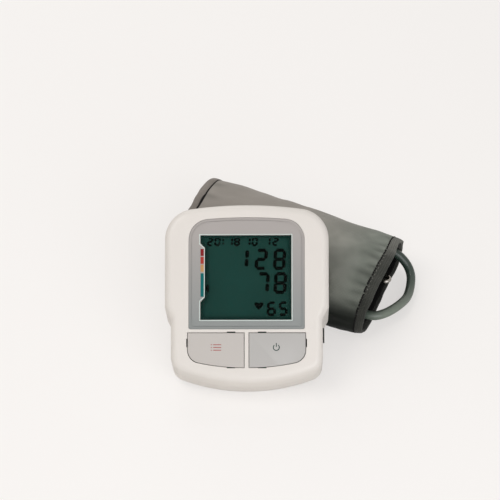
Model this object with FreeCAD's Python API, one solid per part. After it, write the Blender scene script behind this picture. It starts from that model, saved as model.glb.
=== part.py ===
"""Upper-arm blood pressure monitor leaning on its rolled cuff.

Millimetres, +Z up, origin on the table at the middle of the assembly's footprint.
The monitor is built flat in its own frame (X across, Y from front to back along the
base, Z up from the base) and then leaned back about its front lower edge.  Pieces under
the sloping face are built in the face frame: X across, Y up the slope, Z out of the face.
The cuff has a frame of its own: X along the arm, Y across the roll, Z up.
"""
import FreeCAD, Part
import math
import os

from FreeCAD import Placement, Rotation, Vector

os.makedirs("parts", exist_ok=True)

# ---------------------------------------------------------------- driving dimensions
# Casing, seen square to the base
HIGH_HALF = 60.0          # half width of the upper part
LOW_HALF = 55.5           # half width of the lower part, below the step
CASE_LENGTH = 127.0       # front to back along the base
STEP_LOW = 46.0           # where the sides start to step out
STEP_HIGH = 54.5          # where they reach full width
FRONT_BOW = 12.0          # how far the front edge bows forward
BACK_BOW = 6.0            # how far the back edge bows backward
FRONT_CORNER = 11.0       # plan corner radii
BACK_CORNER = 22.0
FRONT_HEIGHT = 28.0       # base to face at the front edge
FACE_SLOPE = 15.0         # degrees
WALL = 2.2
FACE_WALL = 3.4
RIM_RADIUS = 5.5          # soft edge round the face
BASE_RADIUS = 3.0         # soft edge round the base
PARTING = 16.0            # depth of the joint line under the face
LIP_HEIGHT = 1.6
LIP_THICK = 0.9
LIP_GAP = 0.15

# Face: all measured up the slope from the front edge
PANEL_HALF = 42.2
PANEL_LOW = 38.6
PANEL_TOP = 120.2
PANEL_BOW = 2.6
PANEL_CORNER = 15.0
PANEL_FOOT_CORNER = 1.5
PANEL_THICK = 1.4
PANEL_RIM = 2.2           # flat rim round the raised field
PANEL_RAISE = 0.35
PANEL_GROOVE = 0.5        # fine groove between rim and field
GROOVE_DEPTH = 0.3
POCKET_DEPTH = 2.0
FIT_GAP = 0.15
WINDOW_LEFT = -33.8
WINDOW_RIGHT = 32.7
WINDOW_LOW = 45.4
WINDOW_TOP = 107.3
NICHE_DEPTH = 3.4         # step of the window's left side beside the level bar
NICHE_LOW = 58.4
NICHE_TOP = 101.4
NICHE_SLOPE = 3.0
LENS_THICK = 1.2
OPENING_MARGIN = 1.2      # the cover's opening inside the window outline
GLASS_THICK = 2.8
GLASS_LAP = 1.5           # how far the glass reaches behind the cover's wall
GLASS_REST = 2.5          # ledge of the frame under the glass
FRAME_WALL = 2.0
ZEBRA_HALF = 1.2
ZEBRA_INSET = 9.0

# Buttons
KEY_GAP = 3.6             # rib between the two caps
KEY_HALF = 42.9           # outer side of the caps
KEY_TOP = 35.8
KEY_INNER_LOW = 10.6
KEY_BELLY_X = 18.5        # middle of the bowed lower edge
KEY_BELLY_LOW = 11.45
KEY_SHOULDER_X = 35.5
KEY_SHOULDER_LOW = 14.2
KEY_SIDE_LOW = 24.5
KEY_BEND_IN = 1.6         # middle of the curved outer corner
KEY_BEND_UP = 4.1
KEY_CLEAR = 0.35
KEY_PROUD = 0.9
KEY_THICK = 3.2
KEY_EDGE = 0.8
KEY_TRAVEL = 0.9
SLIT_LENGTH = 6.2         # clearance slits in the wells' edges
SLIT_WIDTH = 1.0
SLIT_X = 14.4
SLIT_SIDE_LOW = 25.4
STEM_RADIUS = 2.4
SWITCH_SIDE = 6.0
SWITCH_BODY = 3.5
SWITCH_TIP_RADIUS = 1.7
SWITCH_TIP = 0.8

# Main board
BOARD_DEPTH = 12.0        # top of the board under the face
BOARD_THICK = 1.6
BOARD_HALF = 43.0
BOARD_LOW = 10.0
BOARD_TOP = 110.0
POST_RADIUS = 3.0
POST_X = 39.5
POST_LOW = 42.5
POST_TOP = 106.5
SCREW_SHANK = 1.4
SCREW_HOLE = 1.5
SCREW_PASS = 1.65
SCREW_HEAD = 2.8
SCREW_HEAD_HEIGHT = 2.0
SCREW_SLOT_HALF = 0.4
SCREW_SLOT_DEPTH = 0.8
SCREW_BITE = 8.0          # how far a case screw bites into its pillar
BOARD_BITE = 6.0

# Case screws and feet
TOWER_RADIUS = 3.9
TOWER_HEIGHT = 9.0
TOWER_FRONT_INSET = 8.0   # from the outside of the lower wall
TOWER_BACK_INSET = 7.5    # from the outside of the upper wall
TOWER_FRONT_Y = 23.0
TOWER_BACK_Y = 70.0
COUNTERBORE = 3.2
COUNTERBORE_DEPTH = 5.0
FOOT_RADIUS = 5.0
FOOT_THICK = 2.0
FOOT_SUNK = 1.0
FOOT_EDGE = 0.6
FOOT_FRONT = (40.5, 13.5)
FOOT_BACK = (44.0, 106.0)

# Battery bay
CELL_RADIUS = 7.1
CELL_LENGTH = 49.2
CELL_NIP_RADIUS = 2.7
CELL_NIP = 1.3
CELL_PITCH = 14.9
CELL_COUNT = 4
CONTACT_ROOM = 2.0        # for the contact at each end of a cell
BAY_LOW = 19.5
BAY_LENGTH = CELL_LENGTH + CELL_NIP + 2.0 * CONTACT_ROOM
BAY_HALF = 30.6
BAY_WALL = 1.3
DOOR_THICK = 2.0
DOOR_GAP = 0.3
DOOR_LEDGE = 2.5
THUMB_RECESS = 6.5
DOOR_TRAVEL = 6.0
DOOR_CORE_GAP = 1.0
GRIP_COUNT = 5
GRIP_PITCH = 2.2
GRIP_START = 3.0
GRIP_HALF = 9.0
GRIP_WIDTH = 0.9
GRIP_DEPTH = 0.4
CONTACT_THICK = 0.5
CONTACT_INSET = 2.0
CONE_STEP = 0.7           # how much a contact's cone narrows

# Pump, valve, sensor: one straight line of parts behind the battery bay
CAN_RADIUS = 12.0
CAN_LENGTH = 30.0
CAN_WALL = 1.0
CAN_LEFT = 11.0
CAN_ROOM = 4.7            # between the bay's wall and the pump
SHAFT_RADIUS = 1.0
SHAFT_CLEAR = 0.04
ARMATURE_RADIUS = 8.0
ARMATURE_END_GAP = 4.0
ARMATURE_SLOTS = 3
SLOT_HALF = 0.8
SLOT_DEPTH = 3.5
CRANK_RADIUS = 4.0
CRANK_THICK = 3.0
CRANK_GAP = 1.5
CRANK_PIN = 3.0
CRANK_THROW = 2.2
HEAD_LENGTH = 17.0
HEAD_INSET = 0.5
HEAD_CORNER = 3.0
CRADLE_THICK = 2.2
CRADLE_GAP = 0.3
CRADLE_LEFT = 4.0         # from the can's ends
CRADLE_RIGHT = 6.0
CRADLE_DROP = 3.0         # top of the ribs under the motor's axis
NOZZLE_RADIUS = 1.9
NOZZLE_LENGTH = 4.0
TUBE_RADIUS = 2.9
TUBE_OVERLAP = 3.0
TUBE_SLACK = 0.05
MANIFOLD_X = -27.0
MANIFOLD_SIZE = (12.0, 8.0, 8.0)
VALVE_GAP = 1.0
VALVE_SIDE = 13.0
VALVE_HEIGHT = 15.0
PLUNGER_RADIUS = 2.5
PLUNGER_CLEAR = 0.06
PLUNGER_LENGTH = 9.0
PLUNGER_TRAVEL = 1.0
PLUNGER_FLANGE = 3.6
PLUNGER_CAP = 1.2
PLUNGER_NECK = 0.4
PLUNGER_RISE = 4.0        # flange above the valve's top
SENSOR_SIZE = (9.0, 8.0, 5.0)

# Sockets in the side walls
AIR_Z = 13.0
AIR_OUTER = 6.5
AIR_BORE = 2.6
AIR_DEPTH = 11.0
AIR_FLANGE = 1.4
AIR_PROUD = 0.6
AIR_END = 2.0
JACK_Y = 34.0
JACK_Z = 11.5
JACK_LENGTH = 12.0
JACK_HEIGHT = 9.0
JACK_DEPTH = 11.0
JACK_SUNK = 1.0
JACK_BORE = 2.8
JACK_END = 1.5
JACK_CHAMBER = 1.5        # wider room for the contact at the bore's end
JACK_CHAMBER_RADIUS = 3.5
BUZZER_RADIUS = 6.0
BUZZER_HEIGHT = 3.5
BUZZER_PLACE = (24.0, 100.0)

# The air line: socket, manifold and pump outlet share one axis across the casing
AIR_Y = BAY_LOW + BAY_LENGTH + BAY_WALL + CAN_ROOM + CAN_RADIUS
PUMP_RISE = 6.0           # the motor's axis above the air line
PUMP_Y = AIR_Y
PUMP_Z = AIR_Z + PUMP_RISE
VALVE_X = MANIFOLD_X
VALVE_Y = AIR_Y + MANIFOLD_SIZE[1] / 2.0 + VALVE_GAP + VALVE_SIDE / 2.0

# Lean and places on the table
LEAN = 27.0
MONITOR_X = -29.74
MONITOR_Y = -95.8
CUFF_X = 0.0
CUFF_Y = 30.48
CUFF_TURN = -24.0

# Cuff
CUFF_LENGTH = 164.0
ROLL_WIDTH = 95.0
ROLL_HEIGHT = 46.0
ROLL_TOP_RADIUS = 22.5
ROLL_NOSE_RADIUS = 30.0
ROLL_FOOT_RADIUS = 14.0
PLY = 3.2
PLY_GAP = 0.3
BLADDER_THICK = 1.5
BLADDER_MARGIN = 14.0
PRESS_GAP = 0.3
LEAST_RADIUS = 2.0        # the tightest that a ply folds
RING_WIRE = 1.5
RING_WIDTH = 5.6
RING_Y = -8.5
RING_REACH = 6.0          # past the fabric at each end, so that the cuff slides through it
RING_SHIFT = 2.0          # slid along towards the hose's end
RING_CORNER = 2.7

# Hose
HOSE_RADIUS = 3.5
HOSE_SHARE = 0.45
HOSE_SIDE = 19.0          # hose axis in from the roll's front side where it leaves the cuff
GROMMET_LENGTH = 16.0
GROMMET_RADIUS = 4.4
GROMMET_LIP = 0.4
PAD_LENGTH = 17.0
PAD_START = 3.0
PAD_HALF = 4.5
PAD_THICK = 1.2
PLUG_RADIUS = 3.8
PLUG_RING = 0.5
PLUG_RINGS = 4
PLUG_RING_WIDTH = 2.2
PLUG_RING_PITCH = 4.2
PLUG_RING_START = 2.0
PLUG_LENGTH = 20.0
PLUG_NOSE_RADIUS = 2.55
PLUG_NOSE = 11.0
HOSE_ROUTE = [
    (60.0, HOSE_SIDE - ROLL_WIDTH / 2.0, 13.4), (85.1, HOSE_SIDE - ROLL_WIDTH / 2.0 - 1.7, 13.1),
    (97.3, -7.5, 11.8), (98.4, 13.9, 4.4), (91.8, 35.0, 11.8), (73.0, 34.2, 28.8),
    (45.0, 33.4, 16.5), (14.0, 29.8, 12.4), (-22.0, 31.5, 12.4), (-54.0, 30.5, 12.4),
    (-72.0, 5.0, 12.4), (-57.0, -20.5, 12.4), (-26.0, -20.0, 12.4), (10.0, -17.0, 12.4),
    (36.0, -17.5, 13.8),
]

# ---------------------------------------------------------------- frames
LEAN_RAD = math.radians(LEAN)
MONITOR_Z = BASE_RADIUS * (1.0 - math.sin(LEAN_RAD) - math.cos(LEAN_RAD))
X_AXIS = Vector(1, 0, 0)
Y_AXIS = Vector(0, 1, 0)
Z_AXIS = Vector(0, 0, 1)
FACE = Placement(Vector(0, 0, FRONT_HEIGHT), Rotation(X_AXIS, FACE_SLOPE))
MONITOR = Placement(Vector(MONITOR_X, MONITOR_Y, MONITOR_Z), Rotation(X_AXIS, LEAN))
CUFF = Placement(Vector(CUFF_X, CUFF_Y, 0), Rotation(Z_AXIS, CUFF_TURN))
CUT_MARGIN = 1.0
REACH = CASE_LENGTH + HIGH_HALF          # longer than any piece of the casing
BIG = 2.0 * (CASE_LENGTH + CUFF_LENGTH)  # half side of a slab that covers everything


def moved(shape, placement):
    """Return a copy of the shape moved rigidly by one placement."""
    copy = shape.copy()
    copy.Placement = placement.multiply(copy.Placement)
    return copy


def box(low, high):
    """Box between two opposite corners."""
    size = [b - a for a, b in zip(low, high)]
    return Part.makeBox(*size, Vector(*low))


def rod(radius, length, start, direction=Z_AXIS):
    """Cylinder from a start point along a direction."""
    return Part.makeCylinder(radius, length, Vector(*start), direction)


def near(value, target, slack=1e-3):
    """True when a value equals its target within the modelling tolerance."""
    return abs(value - target) < slack


def write(name, shape):
    """Write one node and report its size."""
    shape = shape.removeSplitter()
    if not shape.isValid():
        raise ValueError("invalid shape in " + name)
    shape.exportStep("parts/" + name + ".step")
    print(f"{name:22s} solids {len(shape.Solids):2d}  volume {shape.Volume:10.1f}")
    return shape


# ---------------------------------------------------------------- casing
def outline_prism(inset, low, high):
    """Casing outline, moved in by inset, as a prism between two heights."""
    low_half = LOW_HALF - inset
    high_half = HIGH_HALF - inset
    front = inset
    back = CASE_LENGTH - inset
    right = [
        Vector(low_half, front + FRONT_BOW, low),
        Vector(low_half, STEP_LOW, low),
        Vector(high_half, STEP_HIGH, low),
        Vector(high_half, back - BACK_BOW, low),
    ]
    left = [Vector(-point.x, point.y, point.z) for point in reversed(right)]
    front_arc = Part.Arc(left[-1], Vector(0, front, low), right[0])
    back_arc = Part.Arc(right[-1], Vector(0, back, low), left[0])
    edges = [front_arc.toShape()]
    edges += [Part.makeLine(a, b) for a, b in zip(right, right[1:])]
    edges += [back_arc.toShape()]
    edges += [Part.makeLine(a, b) for a, b in zip(left, left[1:])]
    prism = Part.Face(Part.Wire(edges)).extrude(Vector(0, 0, high - low))
    front_corners = upright_edges(prism, low_half, front + FRONT_BOW)
    prism = prism.makeFillet(FRONT_CORNER - inset, front_corners)
    back_corners = upright_edges(prism, high_half, back - BACK_BOW)
    return prism.makeFillet(BACK_CORNER - inset, back_corners)


def upright_edges(shape, half, y):
    """The two upright edges at plus and minus half and at y."""
    return upright_at(shape, half, y) + upright_at(shape, -half, y)


def upright_at(shape, x, y):
    """Upright edges at one plan point."""
    return [
        edge for edge in shape.Edges
        if all(near(point.x, x) and near(point.y, y) for point in edge.discretize(3))
    ]


def below_face(depth):
    """Everything deeper under the face than depth, as a large slab."""
    slab = box((-BIG, -BIG, -BIG - depth), (BIG, BIG, -depth))
    return moved(slab, FACE)


def face_rim(shape, depth):
    """Edges of a casing form that lie in the plane at a depth under the face."""
    normal = FACE.Rotation.multVec(Z_AXIS)
    level = FACE.multVec(Vector(0, 0, -depth)).dot(normal)
    return [
        edge for edge in shape.Edges
        if all(near(p.dot(normal), level) for p in edge.discretize(5))
    ]


def base_rim(shape, height):
    """Edges of a casing form that lie in a level plane."""
    return [edge for edge in shape.Edges if all(near(p.z, height) for p in edge.discretize(5))]


def casing_form():
    """Solid outer form of the casing with its soft rim and base edge."""
    form = outline_prism(0.0, 0.0, REACH).common(below_face(0.0))
    form = form.makeFillet(RIM_RADIUS, face_rim(form, 0.0))
    return form.makeFillet(BASE_RADIUS, base_rim(form, 0.0))


def shell_parts():
    """The whole casing wall, split at the joint line with a lip and groove."""
    outer = casing_form()
    inner = outline_prism(WALL, WALL, REACH).common(below_face(FACE_WALL))
    wall = outer.cut(inner)
    lower_side = below_face(PARTING)
    lip_side = below_face(PARTING - LIP_HEIGHT)
    lip_outer = outline_prism(WALL - LIP_THICK, 0.0, REACH)
    groove_outer = outline_prism(WALL - LIP_THICK - LIP_GAP, 0.0, REACH)
    lip_inner = outline_prism(WALL, 0.0, REACH)
    lip_band = lip_side.cut(lower_side)
    groove_band = below_face(PARTING - LIP_HEIGHT - LIP_GAP).cut(lower_side)
    lip = lip_outer.cut(lip_inner).common(lip_band)
    top = wall.cut(lower_side).cut(groove_outer.common(groove_band))
    bottom = wall.common(lower_side).fuse(lip)
    return top, bottom, inner


def panel_outline(grow, low, high):
    """Face panel outline, grown by a gap, as a prism in the face frame."""
    half = PANEL_HALF + grow
    foot = PANEL_LOW - grow
    crown = PANEL_TOP + grow
    shoulder = crown - PANEL_BOW
    corners = [Vector(half, shoulder, low), Vector(-half, shoulder, low)]
    feet = [Vector(-half, foot, low), Vector(half, foot, low)]
    edges = [
        Part.Arc(corners[0], Vector(0, crown, low), corners[1]).toShape(),
        Part.makeLine(corners[1], feet[0]),
        Part.makeLine(feet[0], feet[1]),
        Part.makeLine(feet[1], corners[0]),
    ]
    prism = Part.Face(Part.Wire(edges)).extrude(Vector(0, 0, high - low))
    prism = prism.makeFillet(PANEL_CORNER + grow, upright_edges(prism, half, shoulder))
    return prism.makeFillet(PANEL_FOOT_CORNER, upright_edges(prism, half, foot))


def window_outline(grow, low, high):
    """Display window outline with its niche on the left, as a prism."""
    left = WINDOW_LEFT - grow
    niche = WINDOW_LEFT + NICHE_DEPTH - grow
    right = WINDOW_RIGHT + grow
    foot = WINDOW_LOW - grow
    head = WINDOW_TOP + grow
    points = [
        (left, foot), (right, foot), (right, head), (left, head),
        (left, NICHE_TOP - grow), (niche, NICHE_TOP - NICHE_SLOPE - grow),
        (niche, NICHE_LOW + NICHE_SLOPE + grow), (left, NICHE_LOW + grow),
    ]
    return prism_of(points, low, high)


def prism_of(points, low, high):
    """Upright prism over a list of plan points."""
    wire = Part.makePolygon([Vector(x, y, low) for x, y in points + points[:1]])
    return Part.Face(wire).extrude(Vector(0, 0, high - low))


def key_outline(side, grow, low, high):
    """Outline of one button cap; side is -1 for the left one and 1 for the right one."""
    inner = KEY_GAP / 2.0 - grow
    outer = KEY_HALF + grow
    shoulder = KEY_SHOULDER_X + grow
    points = [
        Vector(side * inner, KEY_TOP + grow, low),
        Vector(side * outer, KEY_TOP + grow, low),
        Vector(side * outer, KEY_SIDE_LOW, low),
        Vector(side * shoulder, KEY_SHOULDER_LOW - grow, low),
        Vector(side * inner, KEY_INNER_LOW - grow, low),
    ]
    bend = Vector(side * (outer - KEY_BEND_IN), KEY_SHOULDER_LOW + KEY_BEND_UP - grow, low)
    belly = Vector(side * KEY_BELLY_X, KEY_BELLY_LOW - grow, low)
    edges = [
        Part.makeLine(points[0], points[1]),
        Part.makeLine(points[1], points[2]),
        Part.Arc(points[2], bend, points[3]).toShape(),
        Part.Arc(points[3], belly, points[4]).toShape(),
        Part.makeLine(points[4], points[0]),
    ]
    return Part.Face(Part.Wire(edges)).extrude(Vector(0, 0, high - low))


def tower_places():
    """Plan places of the four case screws."""
    front = (LOW_HALF - TOWER_FRONT_INSET, TOWER_FRONT_Y)
    back = (HIGH_HALF - TOWER_BACK_INSET, TOWER_BACK_Y)
    return [(side * x, y) for x, y in (front, back) for side in (-1, 1)]


def foot_places():
    """Plan places of the four feet."""
    return [(side * x, y) for x, y in (FOOT_FRONT, FOOT_BACK) for side in (-1, 1)]


def post_places():
    """Face-frame places of the four board posts."""
    return [(side * POST_X, y) for y in (POST_LOW, POST_TOP) for side in (-1, 1)]


def well_slits():
    """Clearance slits through the edges of the two button wells."""
    low = -FACE_WALL - CUT_MARGIN
    high = CUT_MARGIN
    slits = []
    for side in (-1, 1):
        ends = sorted((side * SLIT_X, side * (SLIT_X - SLIT_LENGTH)))
        foot = KEY_BELLY_LOW - SLIT_WIDTH - KEY_CLEAR
        slits.append(box((ends[0], KEY_TOP, low), (ends[1], KEY_TOP + SLIT_WIDTH, high)))
        slits.append(box((ends[0], foot, low), (ends[1], KEY_BELLY_LOW, high)))
        sides = sorted((side * KEY_HALF, side * (KEY_HALF + SLIT_WIDTH)))
        slits.append(box((sides[0], SLIT_SIDE_LOW, low), (sides[1], SLIT_SIDE_LOW + SLIT_LENGTH, high)))
    return slits


def top_cover(top, inner):
    """Top cover with its panel pocket, window, button wells, pillars and posts."""
    pocket = panel_outline(FIT_GAP, -POCKET_DEPTH, CUT_MARGIN)
    opening = window_box(OPENING_MARGIN, -FACE_WALL - CUT_MARGIN, CUT_MARGIN)
    cuts = [pocket, opening] + well_slits()
    for side in (-1, 1):
        cuts.append(key_outline(side, KEY_CLEAR, -FACE_WALL - CUT_MARGIN, CUT_MARGIN + KEY_PROUD))
    for cut in cuts:
        top = top.cut(moved(cut, FACE))
    pillars = [rod(TOWER_RADIUS, REACH, (x, y, TOWER_HEIGHT + LIP_GAP)) for x, y in tower_places()]
    pillar_set = Part.makeCompound(pillars).common(inner)
    posts = []
    for x, y in post_places():
        post = rod(POST_RADIUS, BOARD_DEPTH - POCKET_DEPTH, (x, y, -BOARD_DEPTH))
        posts.append(moved(post, FACE))
    cover = top.fuse([pillar_set] + posts)
    for x, y in tower_places():
        depth = SCREW_BITE + CUT_MARGIN
        cover = cover.cut(rod(SCREW_HOLE, depth, (x, y, TOWER_HEIGHT)))
    for x, y in post_places():
        hole = rod(SCREW_HOLE, BOARD_BITE + CUT_MARGIN, (x, y, -BOARD_DEPTH - CUT_MARGIN))
        cover = cover.cut(moved(hole, FACE))
    return cover


def bay_box(grow, low, high):
    """Plan box of the battery bay, grown all round."""
    return box(
        (-BAY_HALF - grow, BAY_LOW - grow, low),
        (BAY_HALF + grow, BAY_LOW + BAY_LENGTH + grow, high),
    )


def bottom_cover(bottom):
    """Bottom cover with its battery bay, towers, cradles, socket holes and foot wells."""
    roof = DOOR_THICK + 2.0 * CELL_RADIUS + 2.0 * DOOR_GAP
    bay = bay_box(BAY_WALL, 0.0, roof + BAY_WALL)
    towers = [rod(TOWER_RADIUS, TOWER_HEIGHT, (x, y, 0)) for x, y in tower_places()]
    cover = bottom.fuse([bay] + towers + cradles())
    cover = cover.cut(bay_box(0.0, -CUT_MARGIN, roof))
    ledge = box(
        (-BAY_HALF - DOOR_LEDGE, BAY_LOW - THUMB_RECESS, -CUT_MARGIN),
        (BAY_HALF + DOOR_LEDGE, BAY_LOW + BAY_LENGTH + DOOR_LEDGE, DOOR_THICK - WALL / 2.0),
    )
    cover = cover.cut(ledge)
    for x, y in tower_places():
        cover = cover.cut(rod(COUNTERBORE, COUNTERBORE_DEPTH, (x, y, 0)))
        cover = cover.cut(rod(SCREW_PASS, TOWER_HEIGHT + CUT_MARGIN, (x, y, 0)))
    for x, y in foot_places():
        cover = cover.cut(rod(FOOT_RADIUS + FIT_GAP, FOOT_SUNK, (x, y, 0)))
    air_hole = rod(AIR_OUTER - AIR_FLANGE, 4.0 * WALL, (-HIGH_HALF - WALL, AIR_Y, AIR_Z), X_AXIS)
    half_y = JACK_LENGTH / 2.0 + FIT_GAP
    half_z = JACK_HEIGHT / 2.0 + FIT_GAP
    jack_hole = box(
        (LOW_HALF - 3.0 * WALL, JACK_Y - half_y, JACK_Z - half_z),
        (LOW_HALF + WALL, JACK_Y + half_y, JACK_Z + half_z),
    )
    return cover.cut(air_hole).cut(jack_hole)


def cradles():
    """Two ribs standing on the floor that carry the pump motor."""
    ribs = []
    top = PUMP_Z - CRADLE_DROP
    for x in (CAN_LEFT + CRADLE_LEFT, CAN_LEFT + CAN_LENGTH - CRADLE_RIGHT):
        rib = box((x, PUMP_Y - CAN_RADIUS, WALL / 2.0), (x + CRADLE_THICK, PUMP_Y + CAN_RADIUS, top))
        start = (x - CUT_MARGIN, PUMP_Y, PUMP_Z)
        ribs.append(rib.cut(rod(CAN_RADIUS + CRADLE_GAP, CRADLE_THICK + 2.0 * CUT_MARGIN, start, X_AXIS)))
    return ribs


# ---------------------------------------------------------------- face pieces
def face_panel():
    """Panel with a grooved rim round its raised field and the display window cut out."""
    rim_top = PANEL_THICK - POCKET_DEPTH
    panel = panel_outline(0.0, -POCKET_DEPTH, rim_top)
    field = panel_outline(-PANEL_RIM, rim_top - GROOVE_DEPTH, rim_top + PANEL_RAISE)
    groove = panel_outline(PANEL_GROOVE - PANEL_RIM, rim_top - GROOVE_DEPTH, rim_top + CUT_MARGIN)
    panel = panel.cut(groove).fuse(field)
    return panel.cut(window_outline(FIT_GAP, -POCKET_DEPTH - CUT_MARGIN, CUT_MARGIN))


def display_lens():
    """Clear window set in the panel."""
    return window_outline(0.0, -POCKET_DEPTH, LENS_THICK - POCKET_DEPTH)


def window_box(margin, low, high):
    """Plan box inside the window's outline by a margin, or outside it where that is negative."""
    return box(
        (WINDOW_LEFT + margin, WINDOW_LOW + margin, low),
        (WINDOW_RIGHT - margin, WINDOW_TOP - margin, high),
    )


def lcd_glass():
    """Liquid crystal glass under the cover's window."""
    top = -FACE_WALL - FIT_GAP
    return window_box(OPENING_MARGIN - GLASS_LAP, top - GLASS_THICK, top)


def lcd_frame():
    """Moulded frame that holds the glass over the board."""
    top = -FACE_WALL - FIT_GAP
    seat = top - GLASS_THICK
    edge = OPENING_MARGIN - GLASS_LAP
    frame = window_box(edge - FRAME_WALL, -BOARD_DEPTH, top)
    frame = frame.cut(window_box(edge - FIT_GAP, seat, top + CUT_MARGIN))
    frame = frame.cut(window_box(edge + GLASS_REST, -BOARD_DEPTH - CUT_MARGIN, top))
    return frame.cut(zebra_box(FIT_GAP, -BOARD_DEPTH - CUT_MARGIN, top))


def zebra_box(grow, low, high):
    """Plan box of the elastomer connector along the lower edge of the glass."""
    y = WINDOW_LOW + OPENING_MARGIN - GLASS_LAP + GLASS_REST
    return box(
        (WINDOW_LEFT + ZEBRA_INSET - grow, y - ZEBRA_HALF - grow, low),
        (WINDOW_RIGHT - ZEBRA_INSET + grow, y + ZEBRA_HALF + grow, high),
    )


def zebra_strip():
    """Elastomer strip that joins the glass to the board."""
    return zebra_box(0.0, -BOARD_DEPTH, -FACE_WALL - FIT_GAP - GLASS_THICK)


def key_centre(side):
    """Middle of one button in the face frame."""
    return side * (KEY_HALF + KEY_GAP / 2.0) / 2.0, (KEY_TOP + KEY_INNER_LOW) / 2.0


def key_cap(side):
    """One button: soft-edged cap, skirt and pressing stem."""
    top = KEY_PROUD
    cap = key_outline(side, 0.0, top - KEY_THICK, top)
    rim = [edge for edge in cap.Edges if all(near(v.Point.z, top) for v in edge.Vertexes)]
    cap = cap.makeFillet(KEY_EDGE, rim)
    x, y = key_centre(side)
    tip = -BOARD_DEPTH + SWITCH_BODY + SWITCH_TIP + KEY_TRAVEL + FIT_GAP
    stem = rod(STEM_RADIUS, top - KEY_THICK - tip, (x, y, tip))
    return cap.fuse(stem)


def tact_switches():
    """Two small switches on the board under the button stems."""
    switches = []
    for side in (-1, 1):
        x, y = key_centre(side)
        half = SWITCH_SIDE / 2.0
        body = box((x - half, y - half, -BOARD_DEPTH), (x + half, y + half, SWITCH_BODY - BOARD_DEPTH))
        tip = rod(SWITCH_TIP_RADIUS, SWITCH_TIP, (x, y, SWITCH_BODY - BOARD_DEPTH))
        switches.append(body.fuse(tip))
    return Part.makeCompound(switches)


def main_board():
    """Circuit board screwed to the cover's posts."""
    low = -BOARD_DEPTH - BOARD_THICK
    board = box((-BOARD_HALF, BOARD_LOW, low), (BOARD_HALF, BOARD_TOP, -BOARD_DEPTH))
    for x, y in post_places():
        board = board.cut(rod(SCREW_PASS, REACH, (x, y, low - CUT_MARGIN)))
    return board


def pan_screw(x, y, seat, bite):
    """Slotted pan-head screw whose head sits under the seat height and bites upwards."""
    foot = seat - SCREW_HEAD_HEIGHT
    head = rod(SCREW_HEAD, SCREW_HEAD_HEIGHT, (x, y, foot))
    shank = rod(SCREW_SHANK, bite, (x, y, seat))
    slot = box(
        (x - SCREW_HEAD, y - SCREW_SLOT_HALF, foot),
        (x + SCREW_HEAD, y + SCREW_SLOT_HALF, foot + SCREW_SLOT_DEPTH),
    )
    return head.fuse(shank).cut(slot)


def board_screws():
    """Four screws that hold the board to the cover."""
    seat = -BOARD_DEPTH - BOARD_THICK
    bite = BOARD_THICK + BOARD_BITE - CUT_MARGIN
    return Part.makeCompound([pan_screw(x, y, seat, bite) for x, y in post_places()])


def case_screws():
    """Four screws up through the base into the cover's pillars."""
    bite = TOWER_HEIGHT - COUNTERBORE_DEPTH + SCREW_BITE
    return Part.makeCompound([pan_screw(x, y, COUNTERBORE_DEPTH, bite) for x, y in tower_places()])


def rubber_feet():
    """Four feet with a bevelled edge, set in shallow wells."""
    feet = []
    for x, y in foot_places():
        foot = rod(FOOT_RADIUS, FOOT_THICK, (x, y, FOOT_SUNK - FOOT_THICK))
        rim = [edge for edge in foot.Edges if near(edge.BoundBox.ZMax, FOOT_SUNK - FOOT_THICK)]
        feet.append(foot.makeChamfer(FOOT_EDGE, rim))
    return Part.makeCompound(feet)


# ---------------------------------------------------------------- battery bay
def cell_places():
    """Plan X of each battery."""
    return [CELL_PITCH * (index - (CELL_COUNT - 1) / 2.0) for index in range(CELL_COUNT)]


def cell_height():
    """Height of the battery axes."""
    return DOOR_THICK + DOOR_GAP + CELL_RADIUS


def batteries():
    """Four AA cells, turned end for end in pairs."""
    cells = []
    y = BAY_LOW + CONTACT_ROOM
    z = cell_height()
    for index, x in enumerate(cell_places()):
        turned = index % 2
        body = rod(CELL_RADIUS, CELL_LENGTH, (x, y + turned * CELL_NIP, z), Y_AXIS)
        nip = rod(CELL_NIP_RADIUS, CELL_NIP, (x, y + (1 - turned) * CELL_LENGTH, z), Y_AXIS)
        cells.append(body.fuse(nip))
    return Part.makeCompound(cells)


def battery_contacts():
    """Pressed contacts at both ends of every cell: a cone spring and a button plate."""
    contacts = []
    reach = CONTACT_ROOM - CONTACT_THICK - 2.0 * FIT_GAP
    half = CELL_RADIUS - CONTACT_INSET
    z = cell_height()
    for index, x in enumerate(cell_places()):
        for end in (0, 1):
            face = BAY_LOW + FIT_GAP if end == 0 else BAY_LOW + BAY_LENGTH - FIT_GAP
            inward = 1.0 if end == 0 else -1.0
            low, high = sorted((face, face + inward * CONTACT_THICK))
            plate = box((x - half, low, z - half), (x + half, high, z + half))
            wide = half - CONE_STEP if index % 2 == end else CELL_NIP_RADIUS
            start = Vector(x, face + inward * CONTACT_THICK, z)
            cone = Part.makeCone(wide, wide - CONE_STEP, reach, start, Vector(0, inward, 0))
            contacts.append(plate.fuse(cone))
    return Part.makeCompound(contacts)


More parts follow.
